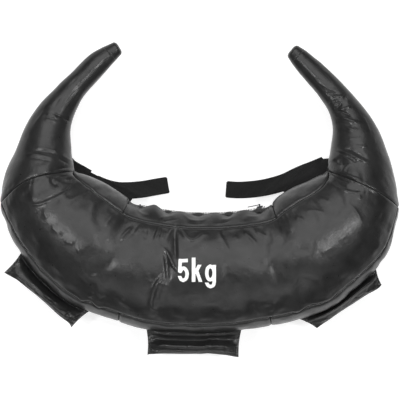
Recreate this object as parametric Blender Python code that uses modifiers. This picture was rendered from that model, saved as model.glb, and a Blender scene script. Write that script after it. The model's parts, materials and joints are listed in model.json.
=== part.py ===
"""A bulgarian bag: a stuffed crescent of PVC leatherette with two horns, three sewn grips and two webbing straps.

It lies on its back. +Z is up, the horns point to +Y, and the origin is on the floor under the middle of the box.
All lengths are in metres.
"""

import math

import bmesh
import bpy
import numpy as np
from mathutils import Matrix, Vector

# Overall sizes
bag_width = 0.600
bag_depth = 0.140
floor_flat = 0.005
tip_level = 0.045
vinyl = 0.001
seam_gap = 0.0005
fit_gap = 0.0003

# Inner edge of the middle, an arc that the zip follows
arc_radius_share = 0.7
arc_radius = arc_radius_share * bag_width
arc_centre_share = (0.0185, 0.664)
arc_angles = (-14.9, -8.9, -3.0, 3.0, 8.0, 12.4)
arc_depth_share = (0.2905, 0.3005, 0.300, 0.297, 0.2925, 0.2915)

# Ribs of the crescent as shares of its width: inner x, inner y, outer x, outer y
left_rib_shares = (
    (-0.199, 0.361, -0.218, 0.392),
    (-0.224, 0.333, -0.270, 0.365),
    (-0.256, 0.296, -0.314, 0.324),
    (-0.289, 0.258, -0.359, 0.281),
    (-0.311, 0.218, -0.401, 0.236),
    (-0.323, 0.176, -0.436, 0.183),
    (-0.321, 0.128, -0.459, 0.126),
    (-0.316, 0.093, -0.486, 0.063),
    (-0.309, 0.071, -0.497, -0.010),
    (-0.274, 0.056, -0.479, -0.072),
    (-0.241, 0.041, -0.451, -0.127),
    (-0.209, 0.022, -0.398, -0.198),
    (-0.181, 0.003, -0.324, -0.259),
)
right_rib_shares = (
    (0.199, 0.007, 0.325, -0.272),
    (0.234, 0.028, 0.386, -0.2255),
    (0.269, 0.043, 0.445, -0.1685),
    (0.296, 0.057, 0.479, -0.110),
    (0.316, 0.071, 0.497, -0.020),
    (0.324, 0.103, 0.484, 0.068),
    (0.330, 0.138, 0.465, 0.133),
    (0.334, 0.178, 0.446, 0.178),
    (0.324, 0.219, 0.414, 0.226),
    (0.299, 0.258, 0.366, 0.281),
    (0.269, 0.293, 0.321, 0.326),
    (0.241, 0.328, 0.281, 0.361),
    (0.224, 0.353, 0.249, 0.383),
)
horn_round_share = 0.92
flat_from_share = 0.5
tip_bulge_shares = ((1.0, 0.0), (0.80, 0.15), (0.40, 0.25))

# Places along the crescent, counted in ribs from the left tip
left_base = 8.0
right_base = 23.0
left_cap_end = 0.5
right_cap_end = 30.5
inner_cross_seams = (12.4, 18.3)
outer_cross_seams = (13.35, 17.3)
seam_bow_shares = (0.55, 0.18)

# Seams around the section, in degrees from the inner or the outer edge
inner_seam = 41.0
inner_seam_end = 8.0
outer_seam = 31.0
outer_seam_end = 14.0

# Main folds of the front: plan points as shares of the bag's width, then shares of the fold height and reach
fold_height = 0.004
fold_reach = 0.011
fold_shares = (
    (((-0.431, -0.014), (-0.374, -0.002), (-0.309, 0.043)), 0.8, 0.9),
    (((-0.391, -0.020), (-0.374, -0.062), (-0.341, -0.092), (-0.301, -0.132)), 0.6, 0.9),
    (((-0.201, -0.105), (-0.161, -0.067)), 0.5, 0.7),
    (((-0.108, -0.104), (-0.098, -0.072)), 0.5, 0.6),
    (((-0.084, -0.105), (-0.071, -0.077), (-0.044, -0.085), (-0.021, -0.102), (0.021, -0.090)), 0.8, 0.6),
    (((-0.095, -0.120), (-0.079, -0.140), (-0.049, -0.187)), 0.9, 0.7),
    (((-0.088, -0.186), (-0.109, -0.217), (-0.121, -0.257)), 0.6, 0.7),
    (((-0.041, -0.132), (-0.034, -0.212)), 0.6, 1.2),
    (((0.044, -0.077), (0.076, -0.135)), 0.5, 0.7),
    (((0.106, -0.077), (0.146, -0.115)), 0.5, 0.7),
    (((0.196, -0.067), (0.239, -0.080)), 0.6, 0.7),
    (((0.261, -0.030), (0.314, -0.035)), 0.6, 0.7),
    (((0.374, -0.012), (0.406, -0.057)), 0.6, 0.7),
    (((0.324, 0.048), (0.356, 0.023), (0.406, 0.018)), 0.6, 0.8),
    (((0.299, -0.137), (0.339, -0.115)), 0.4, 0.9),
)

# Filling
fill_gap = 0.002
horn_fill_gap = 0.0015
wadding_wall = 0.030
pouch_gap = 0.0006
pouch_ends = (8.7, 13.2, 18.0, 22.3)
tip_space = 0.15

# Zip
tape_thickness = 0.0008
tape_width = 0.013
tape_slit = 0.0005
teeth_width = 0.0055
teeth_height = 0.0015
zip_angles = (-13.6, 11.6)
stop_length = 0.0025
stop_width = 0.0065
slider_length = 0.009
slider_plate = 0.0014
slider_lip = 0.0009
bail_height = 0.0018
bail_pin = 0.0012
bail_post = 0.001
pull_length = 0.018
pull_width = 0.0065
pull_neck = 0.0034
pull_neck_length = 0.0035
pull_thickness = 0.0012

# Grips
grip_lengths = (0.131, 0.141, 0.129)
grip_reaches = (0.027, 0.033, 0.026)
grip_roll = 0.0095
grip_flap = 0.003
grip_shell = 0.0014
grip_places = (11.35, 15.18, 19.46)
grip_names = ("left", "middle", "right")

# Straps
strap_width = 0.025
strap_thickness = 0.0018
strap_corner = 0.003
strap_corner_share = 0.3
strap_fold_level = 0.021
strap_floor_gap = 0.0005
strap_fold_gap = 0.0008
strap_hem = 0.004
strap_root_gap = 0.0002
strap_root_angle = 33.0

ring_points = 16
half_turn = 180.0
full_turn = 360.0


def clear_scene():
    for old in list(bpy.data.objects):
        bpy.data.objects.remove(old, do_unlink=True)


def make_collection(name):
    made = bpy.data.collections.new(name)
    bpy.context.scene.collection.children.link(made)
    return made


clear_scene()
bag = make_collection("bulgarian_bag")
cutters = make_collection("cutters")


def make_material(name, colour, roughness, metallic=0.0):
    made = bpy.data.materials.new(name)
    made.use_nodes = True
    shader = made.node_tree.nodes["Principled BSDF"]
    shader.inputs["Base Color"].default_value = (*colour, 1.0)
    shader.inputs["Roughness"].default_value = roughness
    shader.inputs["Metallic"].default_value = metallic
    return made


leatherette = make_material("PVC leatherette", (0.030, 0.030, 0.031), 0.38)
webbing = make_material("Nylon webbing", (0.010, 0.010, 0.011), 0.85)
tape_cloth = make_material("Zip tape cloth", (0.012, 0.012, 0.013), 0.90)
zip_plastic = make_material("Nylon zip teeth", (0.015, 0.015, 0.016), 0.50)
zip_metal = make_material("Black lacquered zinc", (0.020, 0.020, 0.021), 0.35, 0.9)
wadding = make_material("Polyester wadding", (0.700, 0.690, 0.660), 0.95)
pouch_cloth = make_material("Sand in cotton cloth", (0.500, 0.430, 0.320), 0.95)
foam = make_material("Foam rod", (0.200, 0.200, 0.210), 0.90)


# The crescent's ribs

def arc_ribs():
    """Ribs of the middle: they stand square to the arc that the zip follows."""
    ribs = []
    for angle, depth in zip(arc_angles, arc_depth_share):
        out_x = math.sin(math.radians(angle))
        out_y = -math.cos(math.radians(angle))
        centre_x = arc_centre_share[0] * bag_width
        centre_y = arc_centre_share[1] * bag_width
        reach = arc_radius + depth * bag_width
        ribs.append((centre_x + arc_radius * out_x, centre_y + arc_radius * out_y,
                     centre_x + reach * out_x, centre_y + reach * out_y))
    return ribs


def scaled(shares):
    return [tuple(value * bag_width for value in row) for row in shares]


ribs = np.array(scaled(left_rib_shares) + arc_ribs() + scaled(right_rib_shares))
widest = np.hypot(ribs[:, 2] - ribs[:, 0], ribs[:, 3] - ribs[:, 1]).max() / 2
middle_place = (left_base + right_base) / 2


def smooth(value):
    value = np.clip(value, 0, 1)
    return value * value * (3 - 2 * value)


def rib_at(place):
    """The inner and outer points of the crescent at a place counted in ribs, on a curve through all of them."""
    place = np.asarray(place, dtype=float)
    first = np.clip(np.floor(place), 0, len(ribs) - 2).astype(int)
    part = (place - first)[..., None]
    before = ribs[np.maximum(first - 1, 0)]
    start = ribs[first]
    end = ribs[first + 1]
    after = ribs[np.minimum(first + 2, len(ribs) - 1)]
    curve = 2 * start + (end - before) * part
    curve = curve + (2 * before - 5 * start + 4 * end - after) * part ** 2
    return (curve + (3 * start - before - 3 * end + after) * part ** 3) / 2


def surface(place, angle, inset=0.0):
    """A point of the crescent's skin, at an angle in degrees from its inner edge over the top to its outer edge."""
    place, angle = np.broadcast_arrays(np.asarray(place, dtype=float), np.radians(angle))
    rib = rib_at(place)
    inner = rib[..., 0:2]
    outer = rib[..., 2:4]
    across = (outer - inner) / 2
    half_width = np.hypot(across[..., 0], across[..., 1])
    share = half_width / widest
    flat = smooth((share - flat_from_share) / (1 - flat_from_share))
    half_depth = half_width * (horn_round_share * (1 - flat) + bag_depth / 2 / widest * flat)
    level = tip_level + (bag_depth / 2 - floor_flat - tip_level) * np.sqrt(share)
    plan = (inner + outer) / 2 - across * ((half_width - inset) / half_width * np.cos(angle))[..., None]
    height = np.maximum(level + (half_depth - inset) * np.sin(angle), inset)
    return np.concatenate([plan, height[..., None]], axis=-1)


def end_share(place):
    """0 in the middle of the crescent and 1 at the seams where the horns begin."""
    return np.abs((place - middle_place) / (right_base - middle_place))


def inner_seam_at(place):
    return inner_seam_end + (inner_seam - inner_seam_end) * np.clip(1 - end_share(place) ** 6, 0, 1) ** 0.4


def outer_seam_at(place):
    return outer_seam_end + (outer_seam - outer_seam_end) * np.clip(1 - end_share(place) ** 4, 0, 1) ** 0.5


def gap_angle(place, gap):
    """The angle in degrees that a gap takes along the section."""
    step = surface(place, 1.0) - surface(place, -1.0)
    return gap * 2 / np.linalg.norm(step, axis=-1)


def gap_place(place, gap):
    """The ribs that a gap takes along the inner edge."""
    reach = 0.25
    step = rib_at(place + reach) - rib_at(place - reach)
    return gap * 2 * reach / float(np.hypot(step[0], step[1]))


# Meshes and objects

def add_object(name, mesh, material, collection=bag, location=(0, 0, 0)):
    made = bpy.data.objects.new(name, mesh)
    made.location = location
    if material:
        mesh.materials.append(material)
    collection.objects.link(made)
    return made


def mesh_from(name, work, smooth_angle=40.0):
    mesh = bpy.data.meshes.new(name)
    work.to_mesh(mesh)
    work.free()
    mesh.shade_smooth()
    mesh.set_sharp_from_angle(angle=math.radians(smooth_angle))
    return mesh


def grid_mesh(name, points, ring=False, caps=False, origin=(0, 0, 0)):
    """A loft through rows of points. The rows are rings if ring is set, and caps closes the first and last."""
    work = bmesh.new()
    start = Vector(origin)
    rows = [[work.verts.new(Vector(point) - start) for point in row] for row in points]
    count = len(rows[0])
    for row, following in zip(rows, rows[1:]):
        for index in range(count if ring else count - 1):
            other = (index + 1) % count
            work.faces.new((row[index], row[other], following[other], following[index]))
    if caps:
        work.faces.new(rows[0])
        work.faces.new(rows[-1])
        bmesh.ops.recalc_face_normals(work, faces=work.faces)
    return mesh_from(name, work)


def thicken(made, thickness):
    solid = made.modifiers.new("Thickness", "SOLIDIFY")
    solid.thickness = thickness
    solid.offset = -1
    return made


def subtract(made, cutter):
    cutter.hide_render = True
    cutter.display_type = "WIRE"
    cut = made.modifiers.new("Cut", "BOOLEAN")
    cut.operation = "DIFFERENCE"
    cut.object = cutter


def box_into(work, low, high):
    """Adds a box between two corners to a bmesh."""
    size = Vector(high) - Vector(low)
    middle = (Vector(high) + Vector(low)) / 2
    place = Matrix.Translation(middle) @ Matrix.Diagonal((*size, 1))
    bmesh.ops.create_cube(work, size=1, matrix=place)


def box_object(name, low, high, material, collection=bag):
    work = bmesh.new()
    box_into(work, low, high)
    return add_object(name, mesh_from(name, work), material, collection)


# Skin

def fold_rise(points):
    """How far the main folds lift the front at points of the skin."""
    rise = np.zeros(len(points))
    for line_shares, height_share, reach_share in fold_shares:
        line = np.array(line_shares) * bag_width
        for start, end in zip(line[:-1], line[1:]):
            run = end - start
            share = np.clip((points[:, :2] - start) @ run / (run @ run), 0, 1)
            distance = np.linalg.norm(points[:, :2] - start - share[:, None] * run, axis=1)
            lift = fold_height * height_share * np.exp(-(distance / (fold_reach * reach_share)) ** 2)
            rise = np.maximum(rise, lift)
    return rise


def skin(name, places, angles, across, thickness=vinyl, bows=(0, 0), folded=False):
    """A sewn panel of the skin between two places and two seam curves, in rows across the crescent."""
    start, end, steps = places
    low, high = angles
    rows = []
    for index in range(steps + 1):
        share = index / steps
        base = start + (end - start) * share
        row_angles = low(base) + (high(base) - low(base)) * np.linspace(0, 1, across + 1)
        bow = np.sin(np.radians(row_angles)) ** 2
        moved = base - bow * (bows[0] * (1 - share) ** 4 - bows[1] * share ** 4)
        row = surface(moved, row_angles)
        if folded:
            hold = np.sqrt(np.sin(np.linspace(0, math.pi, across + 1)).clip(0) * math.sin(math.pi * share))
            row = surface(moved, row_angles, -fold_rise(row) * hold)
        rows.append(row)
    return thicken(add_object(name, grid_mesh(name, rows), leatherette if thickness == vinyl else tape_cloth),
                   thickness)


def along(curve, sign=1, base=0.0, gap=0.0):
    """A seam curve in degrees, a gap before it, counted from an edge at the angle base."""
    return lambda place: base + sign * (curve(place) + gap_angle(place, gap))


def tape_edge(place):
    return gap_angle(place, tape_width)


half_gap = seam_gap / 2
body_start = left_base + gap_place(left_base, half_gap)
body_end = right_base - gap_place(right_base, half_gap)
body_span = (body_start, body_end, 30)

skin("front_panel", (body_start, body_end, 64),
     (along(inner_seam_at, 1, 0, half_gap), along(outer_seam_at, -1, half_turn, half_gap)), 18, bows=seam_bow_shares,
     folded=True)
skin("back_panel", body_span,
     (along(outer_seam_at, 1, -half_turn, half_gap), along(inner_seam_at, -1, 0, half_gap)), 12, bows=seam_bow_shares)


def cross_ends(cross_seams, steps):
    """The spans of a gusset's three lengths, with a gap at each cross seam."""
    left, right = cross_seams
    left_gap = gap_place(left, seam_gap) / 2
    right_gap = gap_place(right, seam_gap) / 2
    return ((body_start, left - left_gap, steps[0]), (left + left_gap, right - right_gap, steps[1]),
            (right + right_gap, body_end, steps[2]))


inner_spans = cross_ends(inner_cross_seams, (9, 12, 9))
outer_spans = cross_ends(outer_cross_seams, (11, 8, 11))
inner_edges = (along(inner_seam_at, -1, 0, -half_gap), along(inner_seam_at, 1, 0, -half_gap))
outer_edges = (along(outer_seam_at, -1, half_turn, -half_gap), along(outer_seam_at, 1, half_turn, -half_gap))

skin("inner_gusset_left", inner_spans[0], inner_edges, 6)
skin("inner_gusset_right", inner_spans[2], inner_edges, 6)
skin("inner_gusset_middle_front", inner_spans[1], (along(tape_edge, 1, 0, half_gap), inner_edges[1]), 3)
skin("inner_gusset_middle_back", inner_spans[1], (inner_edges[0], along(tape_edge, -1, 0, half_gap)), 3)
skin("zip_tape_front", inner_spans[1], (lambda place: gap_angle(place, tape_slit),
                                        along(tape_edge, 1, 0, -half_gap)), 2, tape_thickness)
skin("zip_tape_back", inner_spans[1], (along(tape_edge, -1, 0, -half_gap),
                                       lambda place: -gap_angle(place, tape_slit)), 2, tape_thickness)
for side, span in zip(grip_names, outer_spans):
    skin(f"outer_gusset_{side}", span, outer_edges, 4)


# Horns

ring_angles = np.arange(ring_points) * full_turn / ring_points


def horn(side, base, cap_end, bow, tip):
    """A horn's sleeve, its blunt end and the wadding in them. The rows run from the seam to the tip."""
    direction = 1 if tip > base else -1
    start = base + direction * gap_place(base, half_gap)
    rows = []
    steps = 15
    for index in range(steps + 1):
        share = index / steps
        place = start + (cap_end - start) * share
        lift = bow * (1 - share) ** 4 * np.sin(np.radians(ring_angles)) ** 2
        rows.append(surface(place + direction * lift, ring_angles))
    if direction > 0:
        name_rows = rows
    else:
        name_rows = rows[::-1]
    sleeve = grid_mesh(f"{side}_horn_sleeve", name_rows, ring=True)
    thicken(add_object(f"{side}_horn_sleeve", sleeve, leatherette), vinyl)

    cap_gap = direction * gap_place(cap_end, seam_gap)
    cap_rows = [surface(cap_end + cap_gap, ring_angles), surface((cap_end + tip) / 2, ring_angles)]
    end_ring = surface(tip, ring_angles)
    middle = end_ring.mean(axis=0)
    outward = middle - surface(tip - direction / 4, ring_angles).mean(axis=0)
    outward = outward / np.linalg.norm(outward)
    tip_size = np.linalg.norm(end_ring - middle, axis=1).min()
    for size_share, bulge_share in tip_bulge_shares:
        cap_rows.append(middle + (end_ring - middle) * size_share + outward * tip_size * bulge_share)
    if direction < 0:
        cap_rows = cap_rows[::-1]
    cap = grid_mesh(f"{side}_horn_cap", cap_rows, ring=True)
    work = bmesh.new()
    work.from_mesh(cap)
    rim = [edge for edge in work.edges if edge.is_boundary]
    tip_ring = [edge for edge in rim if max((Vector(middle) - vert.co).length for vert in edge.verts)
                < tip_size]
    bmesh.ops.contextual_create(work, geom=tip_ring)
    bmesh.ops.recalc_face_normals(work, faces=work.faces)
    work.to_mesh(cap)
    work.free()
    thicken(add_object(f"{side}_horn_cap", cap, leatherette), vinyl)

    fill_start = base + direction * gap_place(base, fill_gap)
    fill_end = tip - direction * tip_space
    fill_places = np.linspace(fill_start, fill_end, 15)
    fill = [surface(place, ring_angles, vinyl + horn_fill_gap) for place in fill_places]
    add_object(f"{side}_horn_wad", grid_mesh(f"{side}_horn_wad", fill, ring=True, caps=True), wadding)


horn("left", left_base, left_cap_end, seam_bow_shares[0], 0.0)
horn("right", right_base, right_cap_end, seam_bow_shares[1], 31.0)


# Filling of the body

def wadding_sleeve():
    """A thick tube of wadding, open at both ends, that the sand pouches lie in."""
    places = np.linspace(left_base + gap_place(left_base, fill_gap), right_base - gap_place(right_base, fill_gap), 31)
    outside = [surface(place, ring_angles, vinyl + fill_gap) for place in places]
    inside = [surface(place, ring_angles, vinyl + fill_gap + wadding_wall) for place in places]
    rows = outside + inside[::-1]
    work = bmesh.new()
    rings = [[work.verts.new(point) for point in row] for row in rows]
    for ring, following in zip(rings, rings[1:] + rings[:1]):
        for index in range(ring_points):
            other = (index + 1) % ring_points
            work.faces.new((ring[index], ring[other], following[other], following[index]))
    bmesh.ops.recalc_face_normals(work, faces=work.faces)
    add_object("wadding_sleeve", mesh_from("wadding_sleeve", work), wadding)


wadding_sleeve()
pouch_inset = vinyl + fill_gap + wadding_wall + pouch_gap
for side, start, end in zip(grip_names, pouch_ends, pouch_ends[1:]):
    margins = gap_place(start, pouch_gap), gap_place(end, pouch_gap)
    places = np.linspace(start + margins[0], end - margins[1], 9)
    rows = [surface(place, ring_angles[::2], pouch_inset) for place in places]
    add_object(f"{side}_sand_pouch", grid_mesh(f"{side}_sand_pouch", rows, ring=True, caps=True), pouch_cloth)


# Zip, on the arc of the inner edge

arc_centre = Vector((arc_centre_share[0] * bag_width, arc_centre_share[1] * bag_width, 0))
zip_level = float(surface(middle_place, 0)[2])


def arc_frame(angle):
    """The place on the arc at this angle, with +X along the zip and +Y away from the bag."""
    turn = Matrix.Rotation(math.radians(angle), 4, "Z")
    place = arc_centre + turn @ Vector((0, -arc_radius, 0)) + Vector((0, 0, zip_level))
    return Matrix.Translation(place) @ turn


teeth_low = fit_gap
teeth_top = fit_gap + teeth_height


def teeth():
    rows = []
    for angle in np.linspace(*zip_angles, 25):
        frame = arc_frame(angle)
        corners = ((teeth_low, -teeth_width), (teeth_top, -teeth_width), (teeth_top, teeth_width),
                   (teeth_low, teeth_width))
        rows.append([frame @ Vector((0, out, up / 2)) for out, up in corners])
    add_object("zip_teeth", grid_mesh("zip_teeth", rows, ring=True, caps=True), zip_plastic)


def arc_step(length):
    return math.degrees(length / arc_radius)


teeth()
stop_half = stop_length / 2
for side, angle in (("left", zip_angles[0] - arc_step(stop_half + fit_gap)),
                    ("right", zip_angles[1] + arc_step(stop_half + fit_gap))):
    stop = box_object(f"zip_stop_{side}", (-stop_half, teeth_low, -stop_width / 2),
                      (stop_half, teeth_top, stop_width / 2), zip_metal)
    stop.matrix_world = arc_frame(angle)


def zip_slider():
    """The slider's plate, lips and bail, and the pull that hangs in the bail."""
    angle = zip_angles[1] - arc_step(slider_length / 2 + fit_gap)
    frame = arc_frame(angle)
    half_length = slider_length / 2
    plate_low = teeth_top + 2 * fit_gap
    plate_top = plate_low + slider_plate
    lip_inner = teeth_width / 2 + 2 * fit_gap
    lip_outer = lip_inner + slider_lip
    post_inner = pull_neck / 2 + fit_gap
    post_outer = post_inner + bail_post
    pin_level = plate_top + bail_height
    post_half = bail_pin
    work = bmesh.new()
    box_into(work, (-half_length, plate_low, -lip_outer), (half_length, plate_top, lip_outer))
    slider = add_object("zip_slider", mesh_from("zip_slider", work), zip_metal)
    overlap = slider_plate / 2
    pieces = []
    for sign in (-1, 1):
        low, high = sorted((sign * lip_inner, sign * lip_outer))
        pieces.append(box_object(f"lip_{sign}", (-half_length, teeth_low + fit_gap, low),
                                 (half_length, plate_low + overlap, high), None, cutters))
        low, high = sorted((sign * post_inner, sign * post_outer))
        pieces.append(box_object(f"post_{sign}", (-post_half, plate_top - overlap, low),
                                 (post_half, pin_level + post_half, high), None, cutters))
    pin_work = bmesh.new()
    bmesh.ops.create_cone(pin_work, cap_ends=True, segments=12, radius1=bail_pin / 2, radius2=bail_pin / 2,
                          depth=2 * post_inner + bail_post, matrix=Matrix.Translation((0, pin_level, 0)))
    pieces.append(add_object("bail_pin", mesh_from("bail_pin", pin_work), None, cutters))
    slider.matrix_world = frame
    for piece in pieces:
        piece.matrix_world = frame
        piece.hide_render = True
        piece.display_type = "WIRE"
        join = slider.modifiers.new(piece.name, "BOOLEAN")
        join.operation = "UNION"
        join.object = piece

    half_thick = pull_thickness / 2
    eye = bail_pin / 2 + fit_gap
    eye_wall = eye + pull_thickness / 2
    work = bmesh.new()
    box_into(work, (-pull_neck_length, -half_thick, -pull_neck / 2), (0, half_thick, pull_neck / 2))
    pull = add_object("zip_pull", mesh_from("zip_pull", work), zip_metal)
    eye_work = bmesh.new()
    bmesh.ops.create_cone(eye_work, cap_ends=True, segments=16, radius1=eye_wall, radius2=eye_wall, depth=pull_neck)
    eye_ring = add_object("pull_eye", mesh_from("pull_eye", eye_work), None, cutters)
    blade = box_object("pull_blade", (-pull_length, -half_thick, -pull_width / 2),
                       (-pull_neck_length + half_thick, half_thick, pull_width / 2), None, cutters)
    bore_work = bmesh.new()
    bmesh.ops.create_cone(bore_work, cap_ends=True, segments=16, radius1=eye, radius2=eye, depth=2 * pull_neck)
    bore = add_object("pull_bore", mesh_from("pull_bore", bore_work), None, cutters)
    hinge = frame @ Matrix.Translation((0, pin_level, 0))
    pull.matrix_world = hinge
    for piece, operation in ((eye_ring, "UNION"), (blade, "UNION"), (bore, "DIFFERENCE")):
        piece.matrix_world = hinge
        piece.hide_render = True
        piece.display_type = "WIRE"
        change = pull.modifiers.new(piece.name, "BOOLEAN")
        change.operation = operation
        change.object = piece


zip_slider()


# Grips

def outer_edge(place):
    return surface(place, half_turn)


def grip(side, place, grip_length, grip_reach):
    """A grip sewn to the outer gusset: a flap that follows the bag's edge, and a roll round a foam rod."""
    reach = 0.2
    run = outer_edge(place + reach) - outer_edge(place - reach)
    turn = math.atan2(run[1], run[0])
    inward = Vector((-math.sin(turn), math.cos(turn), 0))
    direction = Vector((math.cos(turn), math.sin(turn), 0))
    touch = Vector(outer_edge(place))
    axis_place = touch - inward * (seam_gap + grip_flap / 2)
    span = 3.0
    edge_points = [Vector(point) for point in outer_edge(np.linspace(place - span, place + span, 61))]
    edge_along = [(point - touch).dot(direction) for point in edge_points]
    edge_back = [(point - touch).dot(inward) for point in edge_points]
    centre = grip_reach - grip_roll - grip_flap / 2
    half_flap = grip_flap / 2
    join_angle = math.asin(half_flap / grip_roll)
    rows = []
    for offset in np.linspace(-grip_length / 2, grip_length / 2, 9):
        back = max(float(np.interp(offset, edge_along, edge_back)), 0)
        section = []
        for nose in np.linspace(-90, 90, 7):
            nose_angle = math.radians(nose)
            section.append((-back - half_flap * math.cos(nose_angle), half_flap * math.sin(nose_angle)))
        for roll in np.linspace(math.pi - join_angle, join_angle - math.pi, 19):
            section.append((centre + grip_roll * math.cos(roll), grip_roll * math.sin(roll)))
        rows.append([direction * offset - inward * out + Vector((0, 0, up)) for out, up in section])
    name = f"{side}_grip_cover"
    cover = add_object(name, grid_mesh(name, rows, ring=True, caps=True), leatherette, location=axis_place)
    lay = Matrix.Translation(axis_place - inward * centre) @ Matrix.Rotation(turn, 4, "Z") @ Matrix.Rotation(
        math.pi / 2, 4, "Y")
    bore_radius = grip_roll - grip_shell
    bore_work = bmesh.new()
    bmesh.ops.create_cone(bore_work, cap_ends=True, segments=18, radius1=bore_radius, radius2=bore_radius,
                          depth=grip_length + 2 * grip_flap)
    bore = add_object(f"{side}_grip_bore", mesh_from(f"{side}_grip_bore", bore_work), None, cutters)
    bore.matrix_world = lay
    subtract(cover, bore)
    rod_radius = bore_radius - fit_gap
    rod_work = bmesh.new()
    bmesh.ops.create_cone(rod_work, cap_ends=True, segments=18, radius1=rod_radius, radius2=rod_radius,
                          depth=grip_length - grip_flap)
    rod = add_object(f"{side}_grip_core", mesh_from(f"{side}_grip_core", rod_work), foam)
    rod.matrix_world = lay
    return axis_place, direction


for grip_values in zip(grip_names, grip_places, grip_lengths, grip_reaches):
    grip(*grip_values)


# Straps: plan points as shares of the bag's width, from the fold to the free end

strap_line_shares = {
    "left": ((-0.290, 0.052), (-0.246, 0.032), (-0.212, 0.023), (-0.179, 0.022), (-0.144, 0.025), (-0.109, 0.031),
             (-0.079, 0.036)),
    "right": ((0.321, 0.089), (0.289, 0.076), (0.254, 0.062), (0.216, 0.044), (0.180, 0.033), (0.142, 0.026),
              (0.101, 0.023), (0.067, 0.025)),
}
strap_fold_shares = {"left": (-0.218, 0.034), "right": (0.256, 0.060)}
strap_fold_angles = {"left": -33.3, "right": 41.6}
strap_root_places = {"left": (7.35, 12.4), "right": (24.1, 19.0)}


def smooth_line(points, steps):
    """Points along a curve through the given ones."""
    points = [Vector(point) for point in points]
    line = []
    for index in range(len(points) - 1):
        before = points[max(index - 1, 0)]
        start = points[index]
        end = points[index + 1]
        after = points[min(index + 2, len(points) - 1)]
        for step in range(steps):
            part = step / steps
            curve = 2 * start + (end - before) * part + (2 * before - 5 * start + 4 * end - after) * part ** 2
            line.append((curve + (3 * start - before - 3 * end + after) * part ** 3) / 2)
    line.append(points[-1])
    return line


def beyond(line, point, normal):
    """The part of a line past the fold, from the point where it crosses the fold."""
    for index in range(len(line) - 1):
        low = (line[index] - point).dot(normal)
        high = (line[index + 1] - point).dot(normal)
        if low < 0 <= high:
            return [line[index].lerp(line[index + 1], -low / (high - low))] + line[index + 1:]
    return line


def strap(side):
    """A webbing strap: a root sewn under the bag's inner edge, and a tail that folds along the root's edge."""
    width_scale = bag_width
    centre = smooth_line([(x * width_scale, y * width_scale, 0) for x, y in strap_line_shares[side]], 3)
    fold_x, fold_y = strap_fold_shares[side]
    fold = Vector((fold_x * width_scale, fold_y * width_scale, 0))
    turn = math.radians(strap_fold_angles[side])
    run = Vector((math.cos(turn), math.sin(turn), 0))
    normal = Vector((-math.sin(turn), math.cos(turn), 0))
    upper = []
    lower = []
    for index, point in enumerate(centre):
        before = centre[max(index - 1, 0)]
        after = centre[min(index + 1, len(centre) - 1)]
        step = (after - before).normalized()
        aside = Vector((-step.y, step.x, 0)) * strap_width / 2
        if aside.y < 0:
            aside = -aside
        upper.append(point + aside)
        lower.append(point - aside)
    tail_start = fold + normal * strap_fold_gap / 2
    upper_tail = beyond(upper, tail_start, normal)
    lower_tail = beyond(lower, tail_start, normal)
    end_step = (centre[-1] - centre[-2]).normalized()
    across = (upper[-1] - lower[-1]).normalized()
    upper_tail[-1] = upper[-1] - end_step * strap_corner
    lower_tail[-1] = lower[-1] - end_step * strap_corner
    upper_tail.append(upper[-1] - (end_step + across) * strap_corner * strap_corner_share)
    lower_tail.append(lower[-1] - (end_step - across) * strap_corner * strap_corner_share)
    upper_tail.append(upper[-1] - across * strap_corner)
    lower_tail.append(lower[-1] + across * strap_corner)
    outline = upper_tail + lower_tail[::-1]
    farthest = max((point - fold).dot(normal) for point in outline)
    fall = (strap_fold_level - strap_thickness - strap_floor_gap) / farthest
    half = strap_thickness / 2

    def lowered(point):
        return point + Vector((0, 0, strap_fold_level - fall * (point - fold).dot(normal)))

    hinge = fold + Vector((0, 0, strap_fold_level))
    work = bmesh.new()
    face = work.faces.new([work.verts.new(lowered(point) - hinge + Vector((0, 0, half))) for point in outline])
    if face.normal.z < 0:
        bmesh.ops.reverse_faces(work, faces=[face])
    face.normal_update()
    if face.normal.z < 0:
        face.normal_flip()
    tail = add_object(f"{side}_strap_tail", mesh_from(f"{side}_strap_tail", work), webbing, location=hinge)
    thicken(tail, strap_thickness)

    root_start = fold - normal * strap_fold_gap / 2
    first = beyond(upper, root_start, normal)[0]
    last = beyond(lower, root_start, normal)[0]
    start, end = strap_root_places[side]
    rows = []
    for index in range(13):
        share = index / 12
        sewn = Vector(surface(start + (end - start) * share, -strap_root_angle, -strap_root_gap - half))
        edge = lowered(first.lerp(last, share))
        hem = lowered(first.lerp(last, share) - normal * strap_hem)
        rows.append([edge, hem, sewn])
    root_mesh = grid_mesh(f"{side}_strap_root", rows)
    work = bmesh.new()
    work.from_mesh(root_mesh)
    work.normal_update()
    if sum(face.normal.z for face in work.faces) < 0:
        bmesh.ops.reverse_faces(work, faces=work.faces)
    work.to_mesh(root_mesh)
    work.free()
    root = add_object(f"{side}_strap_root", root_mesh, webbing)
    thicken(root, strap_thickness).modifiers["Thickness"].offset = 0
    return first, last


for side in ("left", "right"):
    strap(side)
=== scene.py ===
import json
import math

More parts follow.
